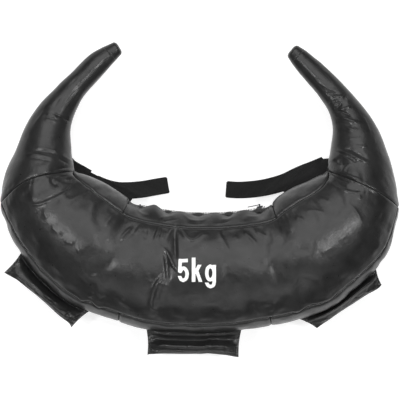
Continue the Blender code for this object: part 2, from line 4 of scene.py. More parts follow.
import bmesh
import bpy
import numpy as np
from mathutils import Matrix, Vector

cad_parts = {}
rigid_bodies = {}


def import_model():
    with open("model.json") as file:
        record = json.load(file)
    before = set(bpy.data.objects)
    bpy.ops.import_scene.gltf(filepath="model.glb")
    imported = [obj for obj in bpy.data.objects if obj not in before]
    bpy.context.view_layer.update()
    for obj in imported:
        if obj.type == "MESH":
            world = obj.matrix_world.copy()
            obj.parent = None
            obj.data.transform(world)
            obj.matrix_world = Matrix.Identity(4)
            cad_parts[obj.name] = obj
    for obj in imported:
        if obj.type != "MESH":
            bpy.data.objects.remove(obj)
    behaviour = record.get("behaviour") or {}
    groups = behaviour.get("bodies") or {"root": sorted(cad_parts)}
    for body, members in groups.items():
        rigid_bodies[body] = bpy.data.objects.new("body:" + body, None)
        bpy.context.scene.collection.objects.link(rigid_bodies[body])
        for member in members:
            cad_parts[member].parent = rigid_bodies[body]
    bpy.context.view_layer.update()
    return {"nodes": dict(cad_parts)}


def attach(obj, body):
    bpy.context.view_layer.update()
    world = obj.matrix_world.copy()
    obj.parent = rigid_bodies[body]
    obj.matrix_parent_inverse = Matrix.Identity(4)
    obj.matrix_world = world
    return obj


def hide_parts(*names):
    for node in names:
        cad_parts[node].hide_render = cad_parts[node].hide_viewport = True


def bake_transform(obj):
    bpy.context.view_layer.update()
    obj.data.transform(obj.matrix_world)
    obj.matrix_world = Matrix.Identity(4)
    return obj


# A bulgarian bag: a stuffed crescent of PVC leatherette with two horns, three sewn grips and two webbing straps.

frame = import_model()
scene = bpy.context.scene
visual = bpy.data.collections.new("visual")
scene.collection.children.link(visual)
print("frame loaded")


# Camera: straight above, its frame 400 x 400 points of 1.5 mm at the height of the bag's edge

shot = {
    "point": 0.0015,              # metres for one point of the frame
    "originX": 199.5,             # the point of the frame where X is 0
    "originY": 199.2,
    "edgeLevel": 0.065,
    "distance": 5.0,
}

cameraData = bpy.data.cameras.new("camera")
cameraData.sensor_width = 36
cameraData.lens = cameraData.sensor_width * shot["distance"] / (400 * shot["point"])
cameraData.clip_end = 20
camera = bpy.data.objects.new("camera", cameraData)
camera.location = ((200 - shot["originX"]) * shot["point"], (shot["originY"] - 200) * shot["point"],
                   shot["edgeLevel"] + shot["distance"])
scene.collection.objects.link(camera)
scene.camera = camera


def fromFrame(points, level=None):
    # points of the frame to metres, at the height where the camera sees them
    points = np.asarray(points, dtype=float)
    level = shot["edgeLevel"] if level is None else level
    near = (shot["distance"] + shot["edgeLevel"] - level) / shot["distance"]
    x = (points[..., 0] - shot["originX"]) * shot["point"] * near
    y = (shot["originY"] - points[..., 1]) * shot["point"] * near
    return np.stack([x, y], axis=-1)


# Shape of the bag, the same curves as the solids. Ribs are shares of the width: inner x, inner y, outer x, outer y

bag = {
    "width": 0.600,
    "depth": 0.140,
    "floorFlat": 0.005,
    "tipLevel": 0.045,
    "vinyl": 0.001,
    "fill": 0.9,                  # how tightly it is stuffed
    "arcRadiusShare": 0.7,
    "arcCentreShare": (0.0185, 0.664),
    "arcAngles": (-14.9, -8.9, -3.0, 3.0, 8.0, 12.4),
    "arcDepthShare": (0.2905, 0.3005, 0.300, 0.297, 0.2925, 0.2915),
    "leftRibs": (
        (-0.199, 0.361, -0.218, 0.392), (-0.224, 0.333, -0.270, 0.365), (-0.256, 0.296, -0.314, 0.324),
        (-0.289, 0.258, -0.359, 0.281), (-0.311, 0.218, -0.401, 0.236), (-0.323, 0.176, -0.436, 0.183),
        (-0.321, 0.128, -0.459, 0.126), (-0.316, 0.093, -0.486, 0.063), (-0.309, 0.071, -0.497, -0.010),
        (-0.274, 0.056, -0.479, -0.072), (-0.241, 0.041, -0.451, -0.127), (-0.209, 0.022, -0.398, -0.198),
        (-0.181, 0.003, -0.324, -0.259)),
    "rightRibs": (
        (0.199, 0.007, 0.325, -0.272), (0.234, 0.028, 0.386, -0.2255), (0.269, 0.043, 0.445, -0.1685),
        (0.296, 0.057, 0.479, -0.110), (0.316, 0.071, 0.497, -0.020), (0.324, 0.103, 0.484, 0.068),
        (0.330, 0.138, 0.465, 0.133), (0.334, 0.178, 0.446, 0.178), (0.324, 0.219, 0.414, 0.226),
        (0.299, 0.258, 0.366, 0.281), (0.269, 0.293, 0.321, 0.326), (0.241, 0.328, 0.281, 0.361),
        (0.224, 0.353, 0.249, 0.383)),
    "hornRoundShare": 0.92,
    "flatFromShare": 0.5,
    "leftBase": 8.0,
    "rightBase": 23.0,
    "leftCap": 0.5,
    "rightCap": 30.5,
    "innerCross": (12.4, 18.3),
    "outerCross": (13.35, 17.3),
    "seamBow": (0.55, 0.18),
    "innerSeam": (8.0, 41.0),     # degrees at the horn seams and in the middle
    "outerSeam": (14.0, 31.0),
    "innerSeamCurve": (6, 0.4),   # the power and root that shape the way between them
    "outerSeamCurve": (4, 0.5),
    "hornSeam": 45,               # degrees at which all four seams run in the horns
    "hornSeamReach": 2.5,         # rows over which they get there
    # where the lower front seam runs uneven: row, degrees, reach in rows
    "seamWaves": ((12.3, -3.0, 0.12), (12.55, 2.0, 0.11), (12.8, -4.0, 0.13), (18.2, -3.0, 0.12), (18.55, 3.0, 0.15),
                  (19.1, -2.5, 0.18)),
}


arcRadius = bag["arcRadiusShare"] * bag["width"]
arcX, arcY = (share * bag["width"] for share in bag["arcCentreShare"])


def makeRibs():
    # the listed ribs of both sides, and those of the arc between them
    width = bag["width"]
    ribs = [[value * width for value in row] for row in bag["leftRibs"]]
    for angle, depth in zip(bag["arcAngles"], bag["arcDepthShare"]):
        outX, outY = math.sin(math.radians(angle)), -math.cos(math.radians(angle))
        reach = arcRadius + depth * width
        ribs.append([arcX + arcRadius * outX, arcY + arcRadius * outY, arcX + reach * outX, arcY + reach * outY])
    return np.array(ribs + [[value * width for value in row] for row in bag["rightRibs"]])


ribs = makeRibs()
widest = np.hypot(ribs[:, 2] - ribs[:, 0], ribs[:, 3] - ribs[:, 1]).max() / 2
middlePlace = (bag["leftBase"] + bag["rightBase"]) / 2


def smooth(value):
    value = np.clip(value, 0, 1)
    return value * value * (3 - 2 * value)


def curveAt(before, start, end, after, part):
    # a Catmull-Rom curve between start and end
    return (2 * start + (end - before) * part + (2 * before - 5 * start + 4 * end - after) * part ** 2
            + (3 * start - before - 3 * end + after) * part ** 3) / 2


def ribAt(place):
    place = np.asarray(place, dtype=float)
    first = np.clip(np.floor(place), 0, len(ribs) - 2).astype(int)
    return curveAt(ribs[np.maximum(first - 1, 0)], ribs[first], ribs[first + 1],
                   ribs[np.minimum(first + 2, len(ribs) - 1)], (place - first)[..., None])


def surface(place, angle, inset=0.0):
    # angle in degrees: 0 at the inner edge, 90 on top, 180 at the outer edge, 270 underneath
    place, angle = np.broadcast_arrays(np.asarray(place, dtype=float), np.radians(angle))
    rib = ribAt(place)
    inner, outer = rib[..., 0:2], rib[..., 2:4]
    across = (outer - inner) / 2
    halfWidth = np.hypot(across[..., 0], across[..., 1])
    share = halfWidth / widest
    flat = smooth((share - bag["flatFromShare"]) / (1 - bag["flatFromShare"]))
    halfDepth = halfWidth * (bag["hornRoundShare"] * (1 - flat) + bag["depth"] / 2 / widest * flat)
    level = bag["tipLevel"] + (bag["depth"] / 2 - bag["floorFlat"] - bag["tipLevel"]) * np.sqrt(share)
    plan = (inner + outer) / 2 - across * ((halfWidth - inset) / halfWidth * np.cos(angle))[..., None]
    height = np.maximum(level + (halfDepth - inset) * np.sin(angle), inset)
    return np.concatenate([plan, height[..., None]], axis=-1)


def seamAngle(place, ends, power, root):
    share = np.abs((place - middlePlace) / (bag["rightBase"] - middlePlace))
    return ends[0] + (ends[1] - ends[0]) * np.clip(1 - share ** power, 0, 1) ** root


# The skin in two numbers: a row, counted in ribs, and a column from 0 to 4. Column 0 to 1 is the inner gusset,
# 1 to 2 the front panel, 2 to 3 the outer gusset and 3 to 4 the back panel. Past the horn seams they even out

def columnEdges(row):
    inner = seamAngle(row, bag["innerSeam"], *bag["innerSeamCurve"])
    outer = seamAngle(row, bag["outerSeam"], *bag["outerSeamCurve"])
    past = smooth(np.maximum(bag["leftBase"] - row, row - bag["rightBase"]) / bag["hornSeamReach"])
    inner = inner + (bag["hornSeam"] - inner) * past
    outer = outer + (bag["hornSeam"] - outer) * past
    uneven = sum(size * np.exp(-((row - place) / reach) ** 2) for place, size, reach in bag["seamWaves"])
    return np.stack([-inner, inner, 180 - outer - uneven, 180 + outer, 360 - inner], axis=-1)


def skinPoint(row, column):
    row, column = np.broadcast_arrays(np.asarray(row, dtype=float), np.asarray(column, dtype=float))
    turns = np.floor(column / 4)
    column = column - turns * 4
    sector = np.clip(np.floor(column), 0, 3).astype(int)
    edges = columnEdges(row)
    low = np.take_along_axis(edges, sector[..., None], -1)[..., 0]
    high = np.take_along_axis(edges, sector[..., None] + 1, -1)[..., 0]
    angle = low + (high - low) * (column - sector) + turns * 360
    bulge = np.sin(np.radians(angle)) ** 2
    left, right = bag["leftBase"], bag["rightBase"]
    leftBow, rightBow = bag["seamBow"]
    share = np.clip((row - left) / (right - left), 0, 1)
    inBody = -leftBow * (1 - share) ** 4 + rightBow * share ** 4
    onLeft = -leftBow * np.clip(1 - (left - row) / (left - bag["leftCap"]), 0, 1) ** 4
    onRight = rightBow * np.clip(1 - (row - right) / (bag["rightCap"] - right), 0, 1) ** 4
    moved = np.where(row < left, onLeft, np.where(row > right, onRight, inBody))
    return surface(row + bulge * moved, angle)


def outwardNormals(alongColumn, alongRow):
    normal = np.cross(alongColumn, alongRow)
    return normal / np.maximum(np.linalg.norm(normal, axis=-1, keepdims=True), 1e-12)


def skinFrame(row, column):
    # points of the skin and their outward normals
    step = 0.004
    alongRow = skinPoint(row + step, column) - skinPoint(row - step, column)
    alongColumn = skinPoint(row, column + step) - skinPoint(row, column - step)
    return skinPoint(row, column), outwardNormals(alongColumn, alongRow)


def smoothCurve(points, count):
    # a smooth curve through the points, resampled at even steps
    points = np.asarray(points, dtype=float)
    if len(points) == 2:
        return points[0] + (points[1] - points[0]) * np.linspace(0, 1, count)[:, None]
    padded = np.vstack([2 * points[0] - points[1], points, 2 * points[-1] - points[-2]])
    fine = []
    for index in range(1, len(padded) - 2):
        fine += [curveAt(*padded[index - 1:index + 3], part) for part in np.linspace(0, 1, 12, endpoint=False)]
    fine = np.array(fine + [points[-1]])
    reach = np.concatenate([[0], np.cumsum(np.linalg.norm(np.diff(fine, axis=0), axis=1))])
    even = np.linspace(0, reach[-1], count)
    return np.stack([np.interp(even, reach, fine[:, axis]) for axis in range(fine.shape[1])], axis=-1)


def unitSteps(line):
    # the direction of a line at each of its points
    steps = np.gradient(line, axis=0)
    return steps / np.linalg.norm(steps, axis=1, keepdims=True)


# Meshes

def shadeSmooth(mesh):
    mesh.polygons.foreach_set("use_smooth", np.ones(len(mesh.polygons), dtype=bool))


def meshFrom(name, points, faces):
    mesh = bpy.data.meshes.new(name)
    mesh.from_pydata([tuple(point) for point in points], [], faces)
    mesh.validate()
    shadeSmooth(mesh)
    mesh.update()
    return mesh


def gridOf(rows, columns):
    return np.meshgrid(rows, columns, indexing="ij")


def gridFaces(rows, columns, ring=False):
    faces = []
    last = columns if ring else columns - 1
    for row in range(rows - 1):
        base = row * columns
        for column in range(last):
            following = (column + 1) % columns
            faces.append((base + column, base + following, base + columns + following, base + columns + column))
    return faces


def closedTube(name, points):
    # rings of points with both ends drawn to a point
    rows, columns = points.shape[:2]
    faces = gridFaces(rows, columns, ring=True)
    first, base = rows * columns, (rows - 1) * columns
    for index in range(columns):
        following = (index + 1) % columns
        faces += [(first, following, index), (first + 1, base + index, base + following)]
    return meshFrom(name, np.vstack([points.reshape(-1, 3), points[0].mean(axis=0), points[-1].mean(axis=0)]), faces)


def addPiece(name, mesh, material, body, slot, replaced=()):
    made = bpy.data.objects.new(name, mesh)
    visual.objects.link(made)
    if material is not None:
        mesh.materials.append(material)
    made["rides"] = (body, slot, ",".join(replaced))
    return made


def applied(made):
    # modifiers into the mesh, so that nothing live is left
    depsgraph = bpy.context.evaluated_depsgraph_get()
    mesh = bpy.data.meshes.new_from_object(made.evaluated_get(depsgraph), depsgraph=depsgraph)
    made.modifiers.clear()
    made.data = mesh
    return made


def thicken(made, thickness, offset=-1.0):
    solid = made.modifiers.new("thickness", "SOLIDIFY")
    solid.thickness = thickness
    solid.offset = offset
    solid.use_even_offset = False
    return applied(made)


# Materials

def linear(code):
    values = [int(code[index:index + 2], 16) / 255 for index in (1, 3, 5)]
    return tuple(value / 12.92 if value <= 0.04045 else ((value + 0.055) / 1.055) ** 2.4 for value in values) + (1,)


def node(tree, kind, settings=None, inputs=None, links=None):
    # one node with its settings, its socket values and the sockets that feed it
    made = tree.nodes.new(kind)
    for key, value in (settings or {}).items():
        setattr(made, key, value)
    for key, value in (inputs or {}).items():
        made.inputs[key].default_value = value
    for key, source in (links or {}).items():
        tree.links.new(source, made.inputs[key])
    return made


def startMaterial(name, values):
    made = bpy.data.materials.new(name)
    made.use_nodes = True
    tree = made.node_tree
    shader = tree.nodes["Principled BSDF"]
    for key, value in values.items():
        shader.inputs[key].default_value = value
    coords = node(tree, "ShaderNodeTexCoord").outputs["Object"]
    return made, tree, shader, coords


def mottled(name, values, grain, noise, tones, stops=(0, 1), relief=None):
    # a material in two tones that follow one noise, its grain in metres, and a relief of strength and depth
    made, tree, shader, coords = startMaterial(name, values)
    pattern = node(tree, "ShaderNodeTexNoise", {}, {"Scale": 1 / grain, **noise}, {"Vector": coords})
    colour = node(tree, "ShaderNodeValToRGB", {}, {}, {"Fac": pattern.outputs["Fac"]})
    for stop, position, tone in zip(colour.color_ramp.elements, stops, tones):
        stop.position, stop.color = position, linear(tone)
    tree.links.new(colour.outputs["Color"], shader.inputs["Base Color"])
    if relief:
        bump = node(tree, "ShaderNodeBump", {}, {"Strength": relief[0], "Distance": relief[1]},
                    {"Height": pattern.outputs["Fac"]})
        tree.links.new(bump.outputs["Normal"], shader.inputs["Normal"])
    return made


# Folds of the vinyl seen from above: points of the frame, then half width and height in mm, and for some how many
# times wider they are on their right side, seen along the points. A height below 0 is a valley

folds = (
    # left horn
    (((45, 112.5), (51, 115), (58, 117.5)), 1.9, 0.6), (((52, 112.5), (62, 117), (68, 120.5), (72, 123.5)), 2, -1.5),
    (((43, 118.3), (50, 120.5), (58, 121.5)), 1.8, 0.7), (((43, 115.6), (52, 118.2), (60, 119.6)), 1.5, -0.6),
    (((36, 132), (50, 134), (62, 133)), 3.8, 0.2), (((30, 143), (46, 144), (60, 144.5)), 3.8, 0.2),
    (((31, 147.5), (42, 148), (54, 150.5), (62, 153.5)), 1.9, 0.7),
    (((30, 150.3), (42, 151), (54, 153.6), (62, 157)), 1.8, -0.9),
    (((25, 154), (36, 154.5), (46, 156.5), (54, 158.5)), 2, 1),
    (((24, 157.5), (36, 158), (46, 160), (54, 162)), 1.9, -0.9), (((60, 155), (66, 158), (72.5, 162)), 2, 0.8),
    (((58, 158), (64, 161.5), (70, 165)), 2, -0.9), (((49, 172), (56, 169.5), (64, 168), (71, 167)), 5.6, -2.5),
    (((20, 184.5), (33, 177.8), (46, 173.8)), 1.6, 0.7), (((48, 177.6), (60, 176.6), (72, 174.8)), 2.5, -1.2),
    (((27, 184), (31, 185.5)), 3, 0.5), (((43, 177.4), (47.5, 178), (48.8, 182), (47.5, 185)), 2, 0.6),
    (((56.5, 178), (59.5, 181.5), (64, 182.5)), 2.5, 0.5), (((51, 178), (53.5, 183), (58, 185)), 3.2, -1.5),
    (((65, 179), (71, 179)), 3, -1), (((96, 60), (84, 71), (72, 82)), 6.2, 0.5),
    (((60, 97), (56, 104), (54, 110)), 5, -0.5), (((78, 78), (70, 84)), 3.8, -0.3),
    # front panel beside the left horn
    (((26.8, 204.6), (34, 204.8), (42.4, 203.5), (50, 200), (58, 196.2), (69.2, 189.5), (75.9, 181.7)), 2, 1.4),
    (((38, 201.6), (44.6, 199.6), (54, 195), (62.5, 190.7), (69, 186.5), (73, 181)), 2.8, -2),
    (((28, 200), (36, 196), (45, 192)), 7.5, 1), (((44, 208), (45, 214), (47, 220)), 2.8, 0.7),
    (((51, 225), (55, 230), (58, 234)), 2.5, 0.6), (((60, 233.5), (62.5, 232)), 2.5, 0.6),
    (((64.5, 239.5), (69, 242.5), (75, 243.5)), 2.5, 0.7), (((77, 252), (81, 250)), 3.8, 0.9),
    # puckers under the inner seam
    (((114.5, 213.3), (109, 220), (103.3, 226.5)), 4.2, 1.1),
    (((118.6, 240.8), (126, 232.5), (133.9, 225.5)), 2, 1.5), (((120, 244), (128, 236.6), (136, 229.5)), 2.1, -0.9),
    (((134.9, 233.7), (142, 225.5)), 2, 1.2), (((147, 228.6), (146, 234), (145, 240.8)), 2.5, -1.1),
    (((157.3, 226.5), (154, 233), (151.2, 240.8)), 1.9, 1.3), (((160, 228), (157.5, 234), (154.5, 240)), 1.4, -0.6),
    (((161.4, 227.6), (159, 234), (156.3, 240.8)), 1.9, 1.2), (((165.5, 229.6), (164, 235), (162.4, 240.8)), 1.9, 1),
    (((148, 224), (149, 231), (148, 238)), 3.2, 0.7),
    # the folds beside the weight mark
    (((166, 241), (167.6, 235.7), (171, 230), (175.7, 227.8), (179, 229.5), (181.8, 232.7), (186, 237.5),
      (191, 240.3), (197.1, 238.8), (202.2, 234.7), (208, 235)), 2.2, 2.4),
    (((175.5, 230), (175.6, 240), (176, 252), (176.5, 262)), 1.8, -4, 4.5),
    (((161.5, 247), (164, 249), (167.6, 253), (171.6, 262.2), (176.7, 270.4), (179, 273)), 2.1, 2.4),
    (((168, 283), (166.5, 272), (165.8, 262), (165, 252)), 1.6, -3, 3.4),
    (((160, 276), (151, 285), (145, 298)), 6.2, -1.6),
    (((164.5, 273.5), (160, 279.5), (156.3, 285.7), (153.5, 291.5), (152.2, 296.9), (151, 302), (152, 307),
      (155.3, 309.2), (159.4, 306.5)), 2.2, 2.4), (((161, 287), (158.5, 294), (157.5, 301)), 4, -1.7),
    (((163.5, 281), (164.5, 285), (167, 288)), 2.8, 1.1),
    (((163.5, 289.8), (162.8, 300), (161.4, 311), (161, 319)), 1.4, -1.2),
    (((166, 290), (165, 304), (163.5, 319)), 1.4, -0.9), (((159, 312), (155, 318)), 1.5, -0.9),
    (((183, 252), (186, 268), (186, 284)), 8.8, 0.7),
    # puckers on the right
    (((217.6, 229.6), (223, 240), (229.8, 253)), 2.8, 1.2), (((222.7, 255), (229.8, 267.3)), 2.5, 0.6),
    (((234, 235), (239, 241)), 3.2, 0.9), (((241.9, 230), (249, 236), (258.2, 245.3)), 2.8, 1.2),
    (((253.9, 230), (261, 233.5), (268, 237.7)), 2.8, 1.4), (((277.7, 225.8), (286, 227), (295.1, 231.2)), 3.2, 1.2),
    (((294, 217.1), (300, 218.5), (305.9, 221.5)), 3, 1), (((303.8, 210.6), (314, 210.6), (325.4, 212.8)), 3.1, 0.8),
    (((316.8, 197.6), (324, 199.5), (330.9, 203)), 3.8, 0.8),
    (((349.3, 204.1), (356, 211), (362.3, 222.5)), 2.5, 0.9), (((318.9, 254), (327, 250), (335.2, 245.3)), 3.8, 0.5),
    (((338, 241), (348.2, 233.4)), 3.8, 0.4),
    # small puckers over the lower seam
    (((89, 298), (94, 292.9)), 2.5, 0.9), (((122.7, 298), (121, 304)), 2.5, 0.7),
    (((212.4, 314.3), (211, 320)), 2.2, 0.6), (((251.7, 303.9), (256, 310), (260.4, 315.8)), 1.8, 0.8),
    (((276.6, 301.7), (273, 307), (270.1, 312.6)), 1.8, 0.7), (((302, 304.4), (308, 302.5)), 2.5, 0.7),
    (((99, 301), (106, 296)), 3, -0.6), (((262, 302), (267, 310)), 3, -0.6),
    # right horn
    (((326, 93.5), (333, 93.6), (339, 94.2)), 1.8, -1.7), (((331.3, 96.3), (340, 96.6), (346, 96)), 1.9, 1.2),
    (((320, 83), (328, 88), (336, 91.2)), 2.5, 0.9), (((328, 103), (335, 101.5), (341.5, 98.8)), 1.9, 1.1),
    (((333.6, 109.2), (338, 107), (342.5, 102.5)), 1.6, -1.7),
    (((338, 109.6), (344, 108.8), (351.4, 105.8)), 1.8, 1.3), (((345, 96), (347.8, 100), (346, 104)), 1.5, 0.9),
    (((333.6, 113), (340, 111.8), (347, 114), (352.5, 117)), 2, -2.4),
    (((337, 117.6), (345, 118.3), (352, 121), (359, 122.5)), 2.2, 1.7),
    (((338, 122.5), (346, 124), (353, 126.5)), 2, -1.1), (((346, 127.5), (352, 129.3), (358, 129)), 1.9, 1.3),
    (((340, 130), (349, 133)), 2.2, -1.1), (((347, 138), (354, 138.5), (360, 138)), 2, 0.7),
    (((355, 145), (362, 146.5), (368, 145.5)), 1.8, 0.9),
    (((344, 147.6), (353, 150.5), (362.6, 156.1), (368, 159)), 2.2, -2.1),
    (((334.7, 149.4), (342, 151.5), (351.4, 155), (358, 158.5), (364.8, 161), (370.4, 161.7)), 1.8, 1.7),
    (((335.8, 152.6), (343, 156.4), (350.3, 160.2), (353.5, 163)), 1.6, 1.4),
    (((345, 156.2), (352, 159.3), (358, 162.6)), 1.6, -1.4),
    (((353, 163.4), (348, 165), (345, 168), (343.6, 171), (346, 174), (351.4, 176.8), (357, 178.8),
      (362.6, 179.5)), 1.5, 1.4), (((334, 158), (338, 164), (343, 165)), 5.6, -3.7),
    (((327, 170), (334, 175), (342.5, 180.6), (351, 182)), 1.9, -2.6),
    (((334, 178), (340, 184), (347, 188.5)), 3, -2.4),
    (((329, 180), (334, 185), (342.5, 190), (352, 192.3), (362.6, 192.6)), 1.6, 1.5),
    (((349, 189.5), (356, 190.5), (362, 190)), 2, -1.3), (((357.5, 199), (361.5, 195.5)), 1.9, 1.1),
    (((351, 178.8), (362, 184.5), (378, 192.8), (385, 196)), 1.8, 1.1), (((300, 62), (311, 72), (320, 82)), 6.2, 0.7),
    # inner gusset
    (((157.3, 219.4), (167, 217), (176.7, 216.3)), 1.8, 0.7),
    (((180, 214), (186, 217.5), (192, 220.4), (202, 220.4), (209, 218)), 1.6, 0.7),
    (((220, 220.4), (227.8, 219.2), (235, 216)), 1.6, 0.7), (((160, 223), (170, 220.5), (180, 220)), 2, -0.7),
    (((186, 223), (196, 224.4), (206, 223)), 1.8, -0.6), (((214, 223.4), (224, 223), (232, 220)), 1.8, -0.6),
    (((134, 206), (142, 213), (151, 217)), 2, 0.6), (((244, 216), (252, 217), (262, 214)), 1.8, 0.6),
)


foldForm = {
    "step": 0.0007,          # metres between the points of a stroke
    "reach": 3.2,            # half widths over which a fold dies out on each side
    "endHeight": 0.15,       # share of the height left at both ends of a stroke
    "endPart": 0.28,         # share of the stroke over which it falls to that
    "leanReach": 0.001,      # metres beside a stroke over which its wider side opens
    "crestFoot": 0.1,        # taken off a crest, so that its foot ends
    "creaseFall": 1.15,
    "creaseEnd": 1.2,
    "upright": (0.05, 0.3),  # the skin takes folds where it faces up
}


def toFrame(points):
    # where the camera sees points, in points of the frame
    near = shot["distance"] / (shot["distance"] + shot["edgeLevel"] - points[..., 2])
    return np.stack([shot["originX"] + points[..., 0] * near / shot["point"],
                     shot["originY"] - points[..., 1] * near / shot["point"]], axis=-1)


def foldHeight(points, normals, strokes=folds):
    # height of the folds at points of the skin that face up
    seen = toFrame(points).reshape(-1, 2) * shot["point"]
    height = np.zeros(len(seen))
    for stroke, width, rise, *lean in strokes:
        line = smoothCurve(stroke, 12)
        reach = np.linalg.norm(np.diff(line, axis=0), axis=1).sum() * shot["point"]
        line = smoothCurve(stroke, max(8, int(reach / foldForm["step"]))) * shot["point"]
        width, rise = width / 1000, rise / 1000
        wider = lean[0] if lean else 1
        edge = foldForm["reach"] * width * wider
        inside = np.nonzero(((seen > line.min(axis=0) - edge) & (seen < line.max(axis=0) + edge)).all(axis=1))[0]
        if len(inside) == 0:
            continue
        nearest = np.full(len(inside), 9.0)
        part, side = np.zeros((2, len(inside)))
        for index, (point, run) in enumerate(zip(line, unitSteps(line))):
            offset = seen[inside] - point
            away = np.hypot(offset[:, 0], offset[:, 1])
            closer = away < nearest
            nearest[closer] = away[closer]
            part[closer] = index / (len(line) - 1)
            side[closer] = (run[0] * offset[:, 1] - run[1] * offset[:, 0])[closer]
        ends = smooth(np.minimum(part, 1 - part) / foldForm["endPart"])
        taper = foldForm["endHeight"] + (1 - foldForm["endHeight"]) * ends
        away = nearest / (width * (1 + (wider - 1) * smooth(side / foldForm["leanReach"])))
        if rise > 0:         # a rounded crest that runs out wide
            foot = foldForm["crestFoot"]
            form = np.maximum(1 / (1 + away ** 2) - foot, 0) / (1 - foot)
        else:                # a crease with a sharp bottom
            form = np.exp(-foldForm["creaseFall"] * away) * smooth((foldForm["reach"] - away) / foldForm["creaseEnd"])
        height[inside] += rise * form * taper
    below, span = foldForm["upright"]
    return height.reshape(points.shape[:-1]) * smooth((normals[..., 2] + below) / span)


# Cloth: the skin is cut a little larger than the form, held at its seams, and filled from inside

cloth = {
    "rows": 156,
    "columns": (14, 36, 14, 30),   # cells across the four columns of the skin
    "frames": 18,
    "grow": 0.05,
    "pressure": 3.0,
    "mass": 0.35,
    "bend": 0.6,
    "stretch": 25.0,
    "quality": 6,
    "damping": 8,
    "bendDamping": 1.0,
    "floorHold": 0.0015,           # metres above the floor up to which it is held flat
    "cap": 0.0009,                 # metres that a fold may stand proud
    "blur": 6,                     # cells, wider swells are taken out so that the outline stays
}


def columnSteps(counts):
    steps = []
    for sector, count in enumerate(counts):
        steps.extend(sector + np.arange(count) / count)
    return np.array(steps)


clothRows = np.linspace(bag["leftCap"], bag["rightCap"], cloth["rows"])
clothColumns = columnSteps(cloth["columns"])


def blurred(field, size):
    # a soft average, going round the section and stopping at the ends
    reach = np.arange(-3 * size, 3 * size + 1)
    weights = np.exp(-0.5 * (reach / size) ** 2)
    weights /= weights.sum()
    padded = np.concatenate([np.repeat(field[:1], 3 * size, axis=0), field, np.repeat(field[-1:], 3 * size, axis=0)])
    result = sum(weight * padded[index:index + len(field)] for index, weight in enumerate(weights))
    return sum(weight * np.roll(result, -offset, axis=1) for weight, offset in zip(weights, reach))


def settle(name, points, normals, held, values):
    # one closed tube of cloth, its ends drawn to a point: how far each of its points moves along its normal
    mesh = closedTube(name, points)
    ends = [held.size, held.size + 1]
    skin = bpy.data.objects.new(name, mesh)
    scene.collection.objects.link(skin)
    pins = skin.vertex_groups.new(name="pins")
    pins.add([int(index) for index in np.nonzero(held.reshape(-1))[0]] + ends, 1.0, "REPLACE")
    modifier = skin.modifiers.new("cloth", "CLOTH")
    settings = modifier.settings
    settings.quality = values["quality"]
    settings.mass = values["mass"]
    settings.tension_stiffness = settings.compression_stiffness = values["stretch"]
    settings.shear_stiffness = values["stretch"] / 3
    settings.bending_stiffness = values["bend"]
    settings.tension_damping = settings.compression_damping = settings.shear_damping = values["damping"]
    settings.bending_damping = values["bendDamping"]
    settings.shrink_min = settings.shrink_max = -values["grow"]
    settings.vertex_group_mass = "pins"
    settings.use_pressure = True
    settings.uniform_pressure_force = values["pressure"]
    settings.effector_weights.gravity = 0
    modifier.collision_settings.use_collision = False
    modifier.point_cache.frame_start = 1
    modifier.point_cache.frame_end = values["frames"]
    for frameNumber in range(1, values["frames"] + 1):
        scene.frame_set(frameNumber)
    evaluated = skin.evaluated_get(bpy.context.evaluated_depsgraph_get())
    moved = np.empty(len(mesh.vertices) * 3)
    evaluated.data.vertices.foreach_get("co", moved)
    moved = moved[:points.size].reshape(points.shape)
    bpy.data.objects.remove(skin)
    bpy.data.meshes.remove(mesh)
    scene.frame_set(1)
    height = ((moved - points) * normals).sum(axis=-1)
    height = height - blurred(height, values["blur"])
    return values["cap"] * np.tanh(height / values["cap"])


def settleBag():
    row, column = gridOf(clothRows, clothColumns)
    points, normals = skinFrame(row, column)
    inBody = (row >= bag["leftBase"] - 0.1) & (row <= bag["rightBase"] + 0.1)
    held = (np.isin(column, (0, 1, 2, 3)) & inBody) | (points[..., 2] < cloth["floorHold"])
    for place in (bag["leftBase"], bag["rightBase"], bag["leftCap"], bag["rightCap"]):
        held[np.abs(clothRows - place).argmin()] = True
    for places, sector in ((bag["innerCross"], 0), (bag["outerCross"], 2)):
        for place in places:
            held[np.abs(clothRows - place).argmin()] |= (clothColumns >= sector) & (clothColumns <= sector + 1)
    return settle("clothSkin", points, normals, held, cloth)


clothHeight = settleBag()
print("cloth settled, folds up to", round(float(np.abs(clothHeight).max()) * 1000, 1), "mm")


def sampled(field, row, column):
    # a smooth reading of the cloth's heights between its points
    rowPart = np.interp(row, clothRows, np.arange(len(clothRows)))
    columnPart = np.interp(column % 4, np.append(clothColumns, 4), np.arange(len(clothColumns) + 1))
    total = 0
    rowFirst, columnFirst = np.floor(rowPart).astype(int), np.floor(columnPart).astype(int)
    rowShare, columnShare = rowPart - rowFirst, columnPart - columnFirst

    def weights(share):
        return ((1 - share) ** 3 / 6, (3 * share ** 3 - 6 * share ** 2 + 4) / 6,
                (-3 * share ** 3 + 3 * share ** 2 + 3 * share + 1) / 6, share ** 3 / 6)

    for rowStep, rowWeight in enumerate(weights(rowShare)):
        rowIndex = np.clip(rowFirst + rowStep - 1, 0, len(clothRows) - 1)
        for columnStep, columnWeight in enumerate(weights(columnShare)):
            columnIndex = (columnFirst + columnStep - 1) % len(clothColumns)
            total = total + field[rowIndex, columnIndex] * rowWeight * columnWeight
    return total


# Seams: a groove, a soft shoulder on each side, and small puckers that die out away from the thread

